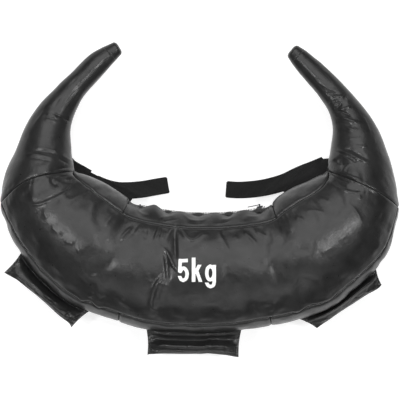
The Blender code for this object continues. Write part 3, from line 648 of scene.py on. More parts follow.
seams = {
    "groove": 0.0016, "grooveWidth": 0.0011,
    "shoulder": 0.0002, "shoulderAt": 0.0042, "shoulderWidth": 0.0026,
    "pucker": 0.0003, "puckerStart": 0.003, "puckerReach": 0.012, "puckerLength": 0.011,
    "capEase": 0.0028,       # metres, the seam at the blunt ends lies shallower
    "seed": 5,
}
waves = np.random.default_rng(seams["seed"])
puckerWaves = [(waves.uniform(0.6, 1.7), waves.uniform(0, 6.28), waves.uniform(0.5, 1)) for _ in range(9)]


def puckers(reach):
    total = 0
    for pace, phase, size in puckerWaves:
        total = total + size * np.sin(reach * 6.283 * pace / seams["puckerLength"] + phase)
    return total / 3


def seamHeight(row, column, points):
    # how the skin dips at the seams that bound and cross it
    left, right = bag["leftBase"], bag["rightBase"]
    inBody = (row > left - 0.001) & (row < right + 0.001)
    lines = []                     # metres from each seam, and the way along it where it puckers

    def crossSeam(place):
        onSeam = skinPoint(np.full_like(row, place), column)
        return onSeam, np.linalg.norm(points - onSeam, axis=-1)

    for seam in (0, 1, 2, 3):
        onSeam = skinPoint(row, np.full_like(row, seam))
        away = np.where(inBody, np.linalg.norm(points - onSeam, axis=-1), 1.0)
        lines.append((away, onSeam[..., 0] + onSeam[..., 1] * 0.6))
    for place in (left, right):
        onSeam, away = crossSeam(place)
        lines.append((away, onSeam[..., 2] + onSeam[..., 0]))
    for place in (bag["leftCap"], bag["rightCap"]):
        lines.append((crossSeam(place)[1] + seams["capEase"], None))
    for places, sector in ((bag["innerCross"], 0), (bag["outerCross"], 2)):
        within = (column >= sector) & (column <= sector + 1)
        lines += [(np.where(within, crossSeam(place)[1], 1.0), None) for place in places]
    height = 0
    for away, along in lines:
        height = height - seams["groove"] * np.exp(-away / seams["grooveWidth"])
        height = height + seams["shoulder"] * np.exp(-((away - seams["shoulderAt"]) / seams["shoulderWidth"]) ** 2)
        if along is not None:
            fade = np.exp(-away / seams["puckerReach"]) * (1 - np.exp(-away / seams["puckerStart"]))
            height = height + seams["pucker"] * puckers(along) * fade
    return height


# Ripples of the front inner gusset beside the zip: point of the frame across, then how far it stands proud in mm

rippleForm = {"seamReach": 0.25, "crest": 0.42, "foot": (0.5, 0.04)}   # rows, then shares of the gusset's width
ripples = (
    (118, 0.0), (128, 0.0), (134, 0.5), (141, -1.5), (148, 4.0), (154, 7.5), (160, 3.5), (167, -2.0), (174, 1.0),
    (181, 2.8), (188, 0.5), (198, -2.2), (208, 1.2), (215, 2.8), (222, 0.6), (229, -2.2), (237, 1.2), (244, 3.2),
    (251, 0.8), (259, -2.2), (266, -0.6), (272, 2.0), (279, 0.5), (290, 0.0),
)


def rippleHeight(row, column, points):
    across = np.array(ripples)
    fine = smoothCurve(across, 240)
    size = np.interp(toFrame(points)[..., 0], fine[:, 0], fine[:, 1], left=0, right=0) / 1000
    start, end = bag["innerCross"]
    within = smooth((row - start) / rippleForm["seamReach"]) * smooth((end - row) / rippleForm["seamReach"])
    foot, footReach = rippleForm["foot"]
    raised = smooth((1 - column) / rippleForm["crest"]) * smooth((column - foot) / footReach)
    return size * within * raised * (column < 1)


# Where the cloth lies smoother: in a box of the frame round the weight mark, and in the tightly stuffed horns
calm = {
    "box": (176, 256, 218, 289),
    "edge": 9,
    "share": 0.8,
    "hornShare": 0.3,
    "hornReach": 1.5,
}


def skinHeight(row, column, points, normals):
    left, top, right, bottom = calm["box"]
    x, y = np.moveaxis(toFrame(points), -1, 0)
    away = np.maximum.reduce([left - x, x - right, top - y, y - bottom])
    rough = 1 - calm["share"] * smooth(1 - away / calm["edge"]) * (normals[..., 2] > 0)
    past = smooth(np.maximum(bag["leftBase"] - row, row - bag["rightBase"]) / calm["hornReach"])
    rough = rough * (1 - (1 - calm["hornShare"]) * past)
    height = sampled(clothHeight, row, column) * rough + seamHeight(row, column, points)
    column = column % 4
    return height + foldHeight(points, normals) + rippleHeight(row, column, points)


def skinGrid(row, column, drop=0.0):
    points, normals = skinFrame(row, column)
    made = points + normals * (skinHeight(row, column, points, normals) - drop)[..., None]
    made[..., 2] = np.maximum(made[..., 2], drop)
    return made


# The finishes of the sewn pieces

leather = {
    "face": "#2a2a2a", "lighterCrest": "#3c3c3c", "deep": "#1c1c1c",
    "roughness": 0.32,
    "grainSize": 0.0011,     # metres, the embossed pebble of the vinyl, a little coarser than real so that it shows
    "grainHeight": 0.00006,
    "smearSize": 0.030,
    "shineSize": 0.012,
    "creaseSize": 0.006, "creaseHeight": 0.0006,
    "lighterCrestFrom": 0.52, "lighterCrestTo": 0.60, "lighterCrestShare": 0.55,   # pointiness from which sharp crests turn to a lighter colour
}


def makeLeatherette():
    # PVC leatherette: knitted cloth under a black film with an embossed grain, satin, with a soft bright sheen
    made, tree, shader, coords = startMaterial("pvcLeatherette", {"IOR": 1.5, "Specular IOR Level": 0.35})
    smear = node(tree, "ShaderNodeTexNoise", {}, {"Scale": 1 / leather["smearSize"], "Detail": 3, "Roughness": 0.55},
                 {"Vector": coords})
    colour = node(tree, "ShaderNodeValToRGB", {}, {}, {"Fac": smear.outputs["Fac"]})
    for stop, position, tone in zip(colour.color_ramp.elements, (0.3, 0.72), ("deep", "face")):
        stop.position, stop.color = position, linear(leather[tone])
    # sharp crests, found by their pointiness, are drawn in a lighter colour
    bent = node(tree, "ShaderNodeNewGeometry")
    lighterCrest = node(tree, "ShaderNodeMapRange", {},
                {"From Min": leather["lighterCrestFrom"], "From Max": leather["lighterCrestTo"], "To Min": 0.0,
                 "To Max": leather["lighterCrestShare"]}, {"Value": bent.outputs["Pointiness"]})
    mixed = node(tree, "ShaderNodeMix", {"data_type": "RGBA"}, {}, {"Factor": lighterCrest.outputs["Result"]})
    mixed.inputs["B"].default_value = linear(leather["lighterCrest"])
    tree.links.new(colour.outputs["Color"], mixed.inputs["A"])
    tree.links.new(mixed.outputs["Result"], shader.inputs["Base Color"])
    shine = node(tree, "ShaderNodeTexNoise", {}, {"Scale": 1 / leather["shineSize"], "Detail": 4, "Roughness": 0.6},
                 {"Vector": coords})
    rough = node(tree, "ShaderNodeMapRange", {},
                 {"From Min": 0.3, "From Max": 0.7, "To Min": leather["roughness"] - 0.05,
                  "To Max": leather["roughness"] + 0.07}, {"Value": shine.outputs["Fac"]})
    tree.links.new(rough.outputs["Result"], shader.inputs["Roughness"])
    grain = node(tree, "ShaderNodeTexVoronoi", {"feature": "F1"}, {"Scale": 1 / leather["grainSize"]},
                 {"Vector": coords})
    creases = node(tree, "ShaderNodeTexNoise", {},
                   {"Scale": 1 / leather["creaseSize"], "Detail": 5, "Roughness": 0.62, "Distortion": 0.6},
                   {"Vector": coords})
    fine = node(tree, "ShaderNodeBump", {}, {"Strength": 0.35, "Distance": leather["grainHeight"]},
                {"Height": grain.outputs["Distance"]})
    broad = node(tree, "ShaderNodeBump", {}, {"Strength": 0.5, "Distance": leather["creaseHeight"]},
                 {"Height": creases.outputs["Fac"], "Normal": fine.outputs["Normal"]})
    tree.links.new(broad.outputs["Normal"], shader.inputs["Normal"])
    return made


leatherette = makeLeatherette()


# Panels, gussets and horns of the bag

leftBase, rightBase = bag["leftBase"], bag["rightBase"]
innerLeft, innerRight = bag["innerCross"]
outerLeft, outerRight = bag["outerCross"]
panels = {
    # name: rows, their count, columns, their count, and the solid that it stands for
    "frontPanel": ((leftBase, rightBase), 420, (1, 2), 106, "front_panel"),
    "backPanel": ((leftBase, rightBase), 300, (3, 4), 76, "back_panel"),
    "innerGussetLeft": ((leftBase, innerLeft), 150, (0, 1), 44, "inner_gusset_left"),
    "innerGussetRight": ((innerRight, rightBase), 150, (0, 1), 44, "inner_gusset_right"),
    "outerGussetLeft": ((leftBase, outerLeft), 240, (2, 3), 30, "outer_gusset_left"),
    "outerGussetMiddle": ((outerLeft, outerRight), 150, (2, 3), 30, "outer_gusset_middle"),
    "outerGussetRight": ((outerRight, rightBase), 240, (2, 3), 30, "outer_gusset_right"),
}


def addSkin(name, row, column, replaced, ring=False):
    points = skinGrid(row, column)
    rows, columns = row.shape
    mesh = meshFrom(name, points.reshape(-1, 3), gridFaces(rows, columns, ring))
    made = thicken(addPiece(name, mesh, leatherette, "bag", "leatherette", (replaced,)), bag["vinyl"])


for name, (rowSpan, rowCount, columnSpan, columnCount, replaced) in panels.items():
    addSkin(name, *gridOf(np.linspace(*rowSpan, rowCount), np.linspace(*columnSpan, columnCount)), replaced)
print("panels and gussets made")

horns = {"rows": 210, "columns": (40, 56, 34, 40)}

for side, start, end in (("left", bag["leftCap"], leftBase), ("right", rightBase, bag["rightCap"])):
    hornRows = np.linspace(start, end, horns["rows"])
    addSkin(f"{side}HornSleeve", *gridOf(hornRows, columnSteps(horns["columns"])), f"{side}_horn_sleeve", ring=True)
print("horns made")


# Blunt ends of the horns: gathered vinyl, folded over and sewn flat

tips = {
    # the end's rings: their size and how far they stand out, as shares of its radius
    "rings": ((0.985, 0.10), (0.94, 0.22), (0.84, 0.34), (0.68, 0.42), (0.48, 0.46), (0.26, 0.48), (0.08, 0.485)),
    "gathers": 9,
    "gatherSwing": 1.3,      # unevenness of the gathers
    "gatherHeight": 0.0004,
    "gatherEnd": 0.2,        # the smallest ring that is still gathered
    "ends": (0.0, 31.0),     # rows of the skin at which the ends begin
    "rows": 16,
    "columns": 96,
}


def addTip(side, capRow, tipRow):
    backward = tipRow < capRow
    columns = columnSteps((tips["columns"] // 4,) * 4)
    rows = list(skinGrid(*gridOf(np.linspace(capRow, tipRow, tips["rows"]), columns)))
    endRing = rows[-1]
    middle = endRing.mean(axis=0)
    outward = middle - rows[-4].mean(axis=0)
    outward /= np.linalg.norm(outward)
    size = np.linalg.norm(endRing - middle, axis=1).min()
    around = columns / 4 * 2 * math.pi
    gathers = np.sin(around * tips["gathers"] + tips["gatherSwing"] * np.sin(around * 2)) * tips["gatherHeight"]
    for scale, bulge in tips["rings"]:
        gather = gathers[:, None] * min(1, (1 - scale) * 3) * (scale > tips["gatherEnd"])
        rows.append(middle + (endRing - middle) * scale + outward * (size * bulge + gather))
    if backward:
        rows.reverse()
    faces = gridFaces(len(rows), len(columns), ring=True)
    pole = len(rows) * len(columns)
    base = 0 if backward else pole - len(columns)
    for index in range(len(columns)):
        start, end = base + index, base + (index + 1) % len(columns)
        faces.append((pole, end, start) if backward else (pole, start, end))
    mesh = meshFrom(f"{side}HornTip", np.vstack([*rows, middle + outward * size * bulge]), faces)
    made = addPiece(mesh.name, mesh, leatherette, "bag", "leatherette", (f"{side}_horn_cap",))
    thicken(made, bag["vinyl"])


addTip("left", bag["leftCap"], tips["ends"][0])
addTip("right", bag["rightCap"], tips["ends"][1])


# Wadding under the skin

filling = {
    "span": (0.25, 30.75),
    "rows": 240,
    "gap": 0.008,            # metres between the skin and the wadding's own surface
}


def addFilling():
    row, column = gridOf(np.linspace(*filling["span"], filling["rows"]), clothColumns)
    mesh = closedTube("waddingFill", skinGrid(row, column, drop=bag["vinyl"] + filling["gap"]))
    made = addPiece("waddingFill", mesh, None, "bag", "wadding", ("wadding_sleeve", "left_horn_wad", "right_horn_wad"))
    return made


waddingFill = addFilling()
print("tips and wadding made")


# Inner gusset on both sides of the zip, and the zip's tapes

zipper = {
    "gussetRows": 300, "gussetColumns": 40,
    "tapeRows": 260, "tapeColumns": 14,
    "pathPoints": 160,
    "tapeWidth": 0.013,
    "tapeThickness": 0.0008,
    "tapeSlit": 0.0005,
    "tuck": 0.05,             # columns that a tape reaches on under the gusset
    "ends": (12.45, 18.25),   # rows between which the tapes are free to lift
    "endReach": 0.3,
    "edgeReach": 0.3,         # share of a tape's width over which it lifts from the teeth
    "slackColumn": 0.66, "slackShare": 0.9,       # how the tapes follow the dips of the gusset's ripples
    "flutter": 0.0004, "flutterLength": 0.021,
    "sink": 0.0026, "sinkFrom": 0.55,             # metres that the sewn side of a tape lies lower
    "level": 0.0003,
    "toothPitch": 0.0024,
    "toothSize": (0.0015, 0.0015, 0.0042),
    "toothShift": 0.0007,
    "toothEnd": 0.4,          # degrees that the teeth end before the tapes do
    "arcAngles": (-13.6, 11.6),
}


def tapeReach(row, width):
    # the columns that a width takes, counted from the middle of the gusset
    step = surface(row, 1.0) - surface(row, -1.0)
    edges = columnEdges(row)
    return 2 * width / np.linalg.norm(step, axis=-1) / (edges[..., 1] - edges[..., 0])


def tapeGrid(sign, rowCount, columnCount):
    row = np.linspace(*bag["innerCross"], rowCount)[:, None] * np.ones(columnCount)
    part = np.linspace(0, 1, columnCount)
    near, far = tapeReach(row, zipper["tapeSlit"]), tapeReach(row, zipper["tapeWidth"]) + zipper["tuck"]
    column = 0.5 + sign * (near + (far - near) * part)
    if sign < 0:
        row, column = row[:, ::-1], column[:, ::-1]
        part = part[::-1]
    points, normals = skinFrame(row, column)
    slack = -np.minimum(rippleHeight(row, zipper["slackColumn"] + 0 * column, points), 0) * zipper["slackShare"]
    flutter = zipper["flutter"] * np.sin(points[..., 0] * 6.283 / zipper["flutterLength"] + 1.1)
    lift = slack + flutter - zipper["sink"] * smooth((part - zipper["sinkFrom"]) / (1 - zipper["sinkFrom"]))
    lift = lift * smooth(part / zipper["edgeReach"])
    start, end = zipper["ends"]
    lift = lift * smooth((row - start) / zipper["endReach"]) * smooth((end - row) / zipper["endReach"])
    return points + normals * lift[..., None]


def addMiddleGusset(sign, name, replaced):
    columns = zipper["gussetColumns"]
    row = np.linspace(*bag["innerCross"], zipper["gussetRows"])[:, None] * np.ones(columns)
    near = 0.5 + sign * tapeReach(row, zipper["tapeWidth"])
    seam, part = (1.0, np.linspace(0, 1, columns)) if sign > 0 else (0.0, np.linspace(1, 0, columns))
    addSkin(name, row, near + (seam - near) * part, replaced)


# Woven polyester tape: tight and matt, so it stays darker than the vinyl. Its threads are drawn coarser than real
tapeCloth = mottled("wovenPolyesterTape", {"Roughness": 0.8, "Sheen Weight": 0.15}, 0.0008, {"Detail": 2},
                    ("#101010", "#202020"), relief=(0.4, 0.0002))

addMiddleGusset(1, "innerGussetMiddleFront", "inner_gusset_middle_front")
addMiddleGusset(-1, "innerGussetMiddleBack", "inner_gusset_middle_back")
for sign, name, replaced in ((1, "zipTapeFront", "zip_tape_front"), (-1, "zipTapeBack", "zip_tape_back")):
    points = tapeGrid(sign, zipper["tapeRows"], zipper["tapeColumns"])
    mesh = meshFrom(name, points.reshape(-1, 3), gridFaces(*points.shape[:2]))
    thicken(addPiece(name, mesh, tapeCloth, "bag", "zip_tape", (replaced,)), zipper["tapeThickness"])
print("zip tapes made")


# What repeats along a path: the zip's teeth and the stitches

def repeatTree(name, asBeads):
    tree = bpy.data.node_groups.new(name, "GeometryNodeTree")
    tree.interface.new_socket("Path", in_out="INPUT", socket_type="NodeSocketGeometry")
    for title, kind, value in (("Spacing", "NodeSocketFloat", 0.002), ("Shift", "NodeSocketFloat", 0.0),
                               ("Size", "NodeSocketVector", (0.001, 0.001, 0.001)),
                               ("Finish", "NodeSocketMaterial", None)):
        socket = tree.interface.new_socket(title, in_out="INPUT", socket_type=kind)
        if value is not None:
            socket.default_value = value
    tree.interface.new_socket("Result", in_out="OUTPUT", socket_type="NodeSocketGeometry")
    given = node(tree, "NodeGroupInput")
    even = node(tree, "GeometryNodeResampleCurve", {"mode": "LENGTH"}, {},
                {"Curve": given.outputs["Path"], "Length": given.outputs["Spacing"]})
    run = node(tree, "GeometryNodeInputTangent")
    turn = node(tree, "FunctionNodeAlignRotationToVector", {"axis": "X"}, {}, {"Vector": run.outputs["Tangent"]})
    if asBeads:
        shape = node(tree, "GeometryNodeMeshUVSphere", {}, {"Segments": 7, "Rings": 4, "Radius": 0.5})
    else:
        shape = node(tree, "GeometryNodeMeshCube", {}, {"Size": (1, 1, 1)})
    placed = node(tree, "GeometryNodeInstanceOnPoints", {}, {},
                  {"Points": even.outputs["Curve"], "Instance": shape.outputs["Mesh"],
                   "Rotation": turn.outputs["Rotation"], "Scale": given.outputs["Size"]})
    index = node(tree, "GeometryNodeInputIndex")
    odd = node(tree, "ShaderNodeMath", {"operation": "PINGPONG"}, {1: 1.0}, {0: index.outputs["Index"]})
    side = node(tree, "ShaderNodeMath", {"operation": "MULTIPLY_ADD"}, {1: 2.0, 2: -1.0}, {0: odd.outputs[0]})
    push = node(tree, "ShaderNodeMath", {"operation": "MULTIPLY"}, {}, {0: side.outputs[0], 1: given.outputs["Shift"]})
    upward = node(tree, "ShaderNodeCombineXYZ", {}, {}, {"Z": push.outputs[0]})
    shifted = node(tree, "GeometryNodeTranslateInstances", {}, {"Local Space": True},
                   {"Instances": placed.outputs["Instances"], "Translation": upward.outputs["Vector"]})
    real = node(tree, "GeometryNodeRealizeInstances", {}, {}, {"Geometry": shifted.outputs["Instances"]})
    dressed = node(tree, "GeometryNodeSetMaterial", {}, {},
                   {"Geometry": real.outputs["Geometry"], "Material": given.outputs["Finish"]})
    result = node(tree, "NodeGroupOutput")
    tree.links.new(dressed.outputs["Geometry"], result.inputs["Result"])
    return tree


repeatRound = repeatTree("repeatRound", True)
repeatBlock = repeatTree("repeatBlock", False)


def repeatAlong(name, tree, paths, values, material, body, slot, replaced=()):
    # a tree's shapes along paths, made a plain mesh
    curve = bpy.data.curves.new(name + "Path", "CURVE")
    curve.dimensions = "3D"
    for path in paths:
        spline = curve.splines.new("POLY")
        spline.points.add(len(path) - 1)
        spline.points.foreach_set("co", np.concatenate([path, np.ones((len(path), 1))], axis=1).reshape(-1))
    holder = bpy.data.objects.new(name + "Path", curve)
    scene.collection.objects.link(holder)
    modifier = holder.modifiers.new("repeat", "NODES")
    modifier.node_group = tree
    values = {**values, "Finish": material}
    for item in tree.interface.items_tree:
        if item.in_out == "INPUT" and item.name in values:
            modifier[item.identifier] = values[item.name]
    depsgraph = bpy.context.evaluated_depsgraph_get()
    mesh = bpy.data.meshes.new_from_object(holder.evaluated_get(depsgraph), depsgraph=depsgraph)
    mesh.name = name
    print(name, "has", len(mesh.polygons), "faces")
    bpy.data.objects.remove(holder)
    if tree == repeatRound:
        shadeSmooth(mesh)
    return addPiece(name, mesh, None, body, slot, replaced)


# Brass, stamped and blackened in a bath: a dark metal that turns brown and brighter where the bath has worn thin
toothMetal = mottled("blackenedBrass", {"Metallic": 1.0, "Roughness": 0.42}, 0.002, {"Detail": 3},
                     ("#2b2a28", "#55524c"), relief=(0.3, 0.0001))

zipLevel = float(surface(middlePlace, 0)[2])
turns = np.radians(np.linspace(zipper["arcAngles"][0] + zipper["toothEnd"],
                               zipper["arcAngles"][1] - zipper["toothEnd"], zipper["pathPoints"]))
toothReach = arcRadius - zipper["level"] - zipper["toothSize"][1] / 2
teethPath = np.stack([arcX + toothReach * np.sin(turns), arcY - toothReach * np.cos(turns), zipLevel + 0 * turns],
                     axis=-1)
repeatAlong("zipTeeth", repeatBlock, [teethPath],
            {"Spacing": zipper["toothPitch"], "Size": zipper["toothSize"], "Shift": zipper["toothShift"]},
            toothMetal, "bag", "zip_teeth", ("zip_teeth",))
print("zip teeth made")


# The grips: a root along the bag's edge, an outer edge, and a section between them that thins at both ends

grips = {
    "left": {
        "places": (10.10, 12.58),
        "outer": ((4.1, 272.5), (7.5, 274.2), (12.8, 277.2), (18.5, 280.7), (30.6, 290.9), (47.2, 304.9),
                  (59.3, 315.8), (67.5, 321.6), (69.8, 323.8), (71.4, 327.3)),
        "top": ((0, -4.0), (0.09, -8.0), (0.16, -10.5), (0.24, -8.4), (0.33, -5.4), (0.42, -2.6), (0.50, -0.4),
                (0.58, 1.0), (0.66, 2.1), (0.73, 2.9), (0.80, 3.2), (0.86, 2.2), (0.92, 0.4), (1.0, -3.0)),
        "under": ((0, -7.0), (0.3, -13.0), (0.6, -13.5), (0.85, -11.0), (1.0, -3.0)),
        "strokes": ((((64, 318), (67, 314.5), (71, 314)), 1.6, -1.6),
                    (((62, 317), (66.5, 312.5), (71, 311.5)), 1.5, 1.3),
                    (((7, 273.2), (12, 272.5), (18, 272.6)), 1.8, 1.4), (((72, 320), (75, 316), (80, 314)), 1.8, 1.2),
                    (((75, 323), (79, 317), (84, 313.5)), 1.8, -1.2), (((12, 268), (17, 263), (19, 257)), 2.4, 0.9),
                    (((20, 278), (28, 283.5), (36, 291)), 1.3, -0.8),
                    (((40, 293.6), (48, 300), (55, 306)), 1.2, 0.7)),
    },
    "middle": {
        "places": (14.03, 16.38),
        "outer": ((147.4, 354.9), (149.0, 354.1), (151.5, 353.7), (165, 353.5), (185, 353.7), (200, 353.8),
                  (208, 353.2), (217, 354.0), (228, 355.2), (234, 356.2), (238.6, 357.2)),
        "top": ((0, -0.8), (0.13, 0.4), (0.20, -0.6), (0.24, -4.5), (0.38, -7.0), (0.50, -2.5), (0.62, 3.6),
                (0.74, 4.4), (0.86, 2.4), (0.93, 2.4), (1.0, -2.5)),
        "under": ((0, -6.0), (0.3, -13.0), (0.6, -13.5), (0.85, -11.0), (1.0, -2.5)),
        "strokes": ((((149.5, 353.5), (155, 348.5), (161, 346), (171, 345)), 2.0, 2.0),
                    (((236.5, 355.5), (234, 351), (228, 347.8), (221, 346.5)), 2.0, 2.2),
                    (((176, 347), (180, 350.5), (184, 352)), 1.6, -1.3),
                    (((186, 349), (190, 345), (196, 344.5)), 1.8, 1.2),
                    (((198, 351), (204, 348), (210, 347.5)), 1.8, -0.9),
                    (((208, 350), (214, 346.5), (220, 347)), 1.6, 1.0),
                    (((152, 352.4), (170, 351.7), (190, 352)), 0.9, 0.9),
                    (((146, 331), (149, 333.5), (153, 335)), 1.4, -0.8)),
    },
    "right": {
        "places": (18.16, 20.96),
        "outer": ((317.3, 328.5), (318.6, 327.3), (321.5, 325), (331, 319), (345.3, 309.4), (358, 301),
                  (367.5, 294.6), (375, 290.6), (379.5, 287.5), (382, 285)),
        "top": ((0, -5.0), (0.14, -8.0), (0.28, -2.5), (0.38, 2.8), (0.47, 2.2), (0.60, -1.5), (0.80, -5.5),
                (0.93, -8.5), (1.0, -13.0)),
        "under": ((0, -9.0), (0.3, -15.0), (0.6, -19.0), (0.85, -19.0), (1.0, -13.0)),
        "strokes": ((((301.5, 322.4), (311, 320.5), (317.5, 317.5)), 1.5, 1.5),
                    (((303, 324.6), (312, 323), (317, 321)), 1.8, -1.2),
                    (((371, 283), (375.5, 277), (377, 270.5)), 1.8, 0.8),
                    (((316, 326), (321, 321), (330, 315)), 2.4, 0.8)),
    },
}
gripForm = {
    "tuck": 0.0022,          # metres that the root reaches in under the bag's edge
    "flat": 0.0016,          # thickness at the two sewn ends
    "endShare": 0.34,        # share of the half length over which the roll thins to a flat end
    "flatLine": 0.25,        # how far a flat end still follows the middle of the roll
    "spread": 1.5,           # draws the columns closer at the outer edge
    "waist": 0.0016,
    "heldFrom": 0.96,        # share of the half length past which the cloth is held
    "gather": 0.0005, "gathers": 24, "gatherAt": 0.88, "gatherReach": 0.07,
    "fill": 0.7,
    "rows": 150, "columns": 44,
}
gripCloth = {**cloth, "frames": 14, "pressure": 2.0, "bend": 0.8, "stretch": 22.0, "cap": 0.0005, "blur": 7}


def sectionCurve(points, share):
    fine = smoothCurve(points, 160)
    return np.interp(share, np.maximum.accumulate(fine[:, 0]), fine[:, 1]) / 1000


def gripGrid(side):
    # rows along the grip, columns round its section: over the top from the bag outwards, and back underneath
    values = grips[side]
    rows, columns = gripForm["rows"], gripForm["columns"]
    place = sum(values["places"]) / 2
    run = surface(place + 0.2, 180) - surface(place - 0.2, 180)
    direction = run * (1, 1, 0) / math.hypot(run[0], run[1])
    inward = np.array([-direction[1], direction[0], 0])
    root = surface(np.linspace(*values["places"], rows), 180) + inward * gripForm["tuck"]
    level = root[:, 2].mean()
    outer = fromFrame(smoothCurve(values["outer"], rows))
    share = 1 - (1 - np.linspace(0, 1, columns + 1)) ** gripForm["spread"]
    endness = np.abs(np.linspace(-1, 1, rows))
    thin = smooth((endness - 1 + gripForm["endShare"]) / gripForm["endShare"])[:, None]
    plan = root[:, None, :2] * (1 - share[None, :, None]) + outer[:, None, :2] * share[None, :, None]
    waist = gripForm["waist"] * np.sin(math.pi * share) * np.sign(np.linspace(1, -1, rows))[:, None] * thin ** 3
    plan = plan + waist[..., None] * direction[:2]
    top, under = sectionCurve(values["top"], share), sectionCurve(values["under"], share)
    lean = np.interp(share, (0, 1), (top[0], top[-1]))
    flatLine = lean + ((top + under) / 2 - lean) * gripForm["flatLine"]
    half = gripForm["flat"] / 2 * np.sqrt(np.clip(1 - share ** 8, 0, 1))
    upper = top[None, :] * (1 - thin) + (flatLine + half)[None, :] * thin
    lower = under[None, :] * (1 - thin) + (flatLine - half)[None, :] * thin
    over = np.concatenate([plan, (level + upper)[..., None]], axis=2)
    back = np.concatenate([plan, (level + lower)[..., None]], axis=2)[:, -2:0:-1]
    return np.concatenate([over, back], axis=1)


def addGrip(side):
    points = gripGrid(side)
    alongColumn = np.roll(points, -1, axis=1) - np.roll(points, 1, axis=1)
    normals = outwardNormals(alongColumn, np.gradient(points, axis=0))
    if ((points - points.mean(axis=1, keepdims=True)) * normals).sum() < 0:
        normals = -normals
    rows, columns = points.shape[:2]
    half = gripForm["columns"]
    away = np.abs(np.linspace(-1, 1, rows))[:, None] * np.ones(columns)
    held = (away > gripForm["heldFrom"]) | np.isin(np.arange(columns), (0, 1, columns - 1, half))[None, :]
    height = settle(side + "GripCloth", points, normals, held, gripCloth)
    height = height + foldHeight(points, normals, grips[side]["strokes"])
    share = np.concatenate([np.linspace(0, 1, half + 1), np.linspace(1, 0, half + 1)[1:-1]])
    gather = gripForm["gather"] * np.sin(share * gripForm["gathers"] + 2.0 * away)
    gather = gather * np.exp(-((away - gripForm["gatherAt"]) / gripForm["gatherReach"]) ** 2)
    points = points + normals * (height + gather)[..., None]
    faces = gridFaces(rows, columns, ring=True)
    for base, flip in ((0, False), ((rows - 1) * columns, True)):      # flat ends, closed from side to side
        for index in range(half):
            upper, following = base + index, base + index + 1
            lower = base + (columns - index) % columns
            lowerFollowing = base + (columns - index - 1) % columns
            loop = [upper, following, lowerFollowing, lower]
            loop = [vert for position, vert in enumerate(loop) if vert not in loop[:position]]
            if len(loop) > 2:
                faces.append(tuple(loop[::-1] if flip else loop))
    mesh = meshFrom(f"{side}Grip", points.reshape(-1, 3), faces)
    made = addPiece(mesh.name, mesh, leatherette, f"{side}_grip", "leatherette",
                    (f"{side}_grip_cover", f"{side}_grip_core"))
    work = bmesh.new()
    work.from_mesh(made.data)
    bmesh.ops.recalc_face_normals(work, faces=work.faces)
    work.to_mesh(made.data)
    work.free()
    return points


gripPoints = {side: addGrip(side) for side in grips}
print("grips made")


# Webbing straps: a root sewn under the bag's inner edge and a tail that folds at the root's edge

straps = {
    "width": 0.025,
    "thickness": 0.0018,
    "corner": 0.003,
    "foldLevel": 0.021,
    "floorGap": 0.0005,
    "hem": 0.004,
    "rootGap": 0.0002,
    "bendReach": 0.003,       # metres on each side of the fold, stored with the strap as the ends of its bend
    "tailRows": 190, "hemRows": 4, "rootRows": 21, "columns": 21,
    "tabWidth": 0.012,
    "tabLevels": (0.0235, 0.0186),
    "rootAngle": 33.0,
    "bevel": 0.0004,
    "wave": 0.0007,           # metres that a tail undulates, in radians along it, and the share before it starts
    "waves": 9.0, "waveStart": 0.2,
    "ribPitch": 0.0016, "ribHeight": 0.00018,
    "warpPitch": 0.0021,
    "fuzz": 0.0015,
    "selvage": 0.0012, "selvageDrop": 0.00025,
    "left": {
        "line": ((-0.290, 0.052), (-0.246, 0.032), (-0.212, 0.023), (-0.179, 0.022), (-0.144, 0.025), (-0.109, 0.031),
                 (-0.079, 0.036)),
        "fold": (-0.218, 0.034), "turn": -33.3, "root": (7.35, 12.4)},
    "right": {
        "line": ((0.321, 0.089), (0.289, 0.076), (0.254, 0.062), (0.216, 0.044), (0.180, 0.033), (0.142, 0.026),
                 (0.101, 0.023), (0.067, 0.025)),
        "fold": (0.256, 0.060), "turn": 41.6, "root": (24.1, 19.0)},
    # points of the frame: upper edges of the doubled end, and of the turn that runs on under the bag's edge
    "tabs": (((68, 154.2), (72.5, 158.0), (76, 161.4), (84, 165.9), (91.9, 170.5)),
             ((80, 166.5), (87, 170.3), (93, 173.3), (98, 175.9), (103, 178.3), (107, 179.8))),
}

# Woven polypropylene webbing: thick ribs across and finer warps along it, dyed deep black, with a dry sheen. Both
# are drawn coarser than real, so that they show
webbing, tree, shader, coords = startMaterial("polypropyleneWebbing", {"Roughness": 0.78, "Sheen Weight": 0.06,
                                                                       "Specular IOR Level": 0.35})
lay = node(tree, "ShaderNodeUVMap", {"uv_map": "lay"})
ways = node(tree, "ShaderNodeSeparateXYZ", {}, {}, {"Vector": lay.outputs["UV"]})
threadWaves = []
for way, pitch in (("Y", straps["ribPitch"]), ("X", straps["warpPitch"])):
    turned = node(tree, "ShaderNodeMath", {"operation": "MULTIPLY"}, {1: 6.2832 / pitch}, {0: ways.outputs[way]})
    threadWaves.append(node(tree, "ShaderNodeMath", {"operation": "SINE"}, {}, {0: turned.outputs[0]}).outputs[0])
woven = node(tree, "ShaderNodeMath", {"operation": "MULTIPLY_ADD"}, {1: 0.45}, {0: threadWaves[1], 2: threadWaves[0]})
fuzz = node(tree, "ShaderNodeTexNoise", {}, {"Scale": 1 / straps["fuzz"], "Detail": 3}, {"Vector": coords})
toned = node(tree, "ShaderNodeMath", {"operation": "MULTIPLY_ADD"}, {1: 0.12},
             {0: woven.outputs[0], 2: fuzz.outputs["Fac"]})
colour = node(tree, "ShaderNodeValToRGB", {}, {}, {"Fac": toned.outputs[0]})
for stop, position, tone in zip(colour.color_ramp.elements, (0.25, 0.8), ("#0b0b0b", "#181818")):
    stop.position, stop.color = position, linear(tone)
tree.links.new(colour.outputs["Color"], shader.inputs["Base Color"])
bump = node(tree, "ShaderNodeBump", {}, {"Strength": 0.7, "Distance": 0.0003}, {"Height": woven.outputs[0]})
tree.links.new(bump.outputs["Normal"], shader.inputs["Normal"])

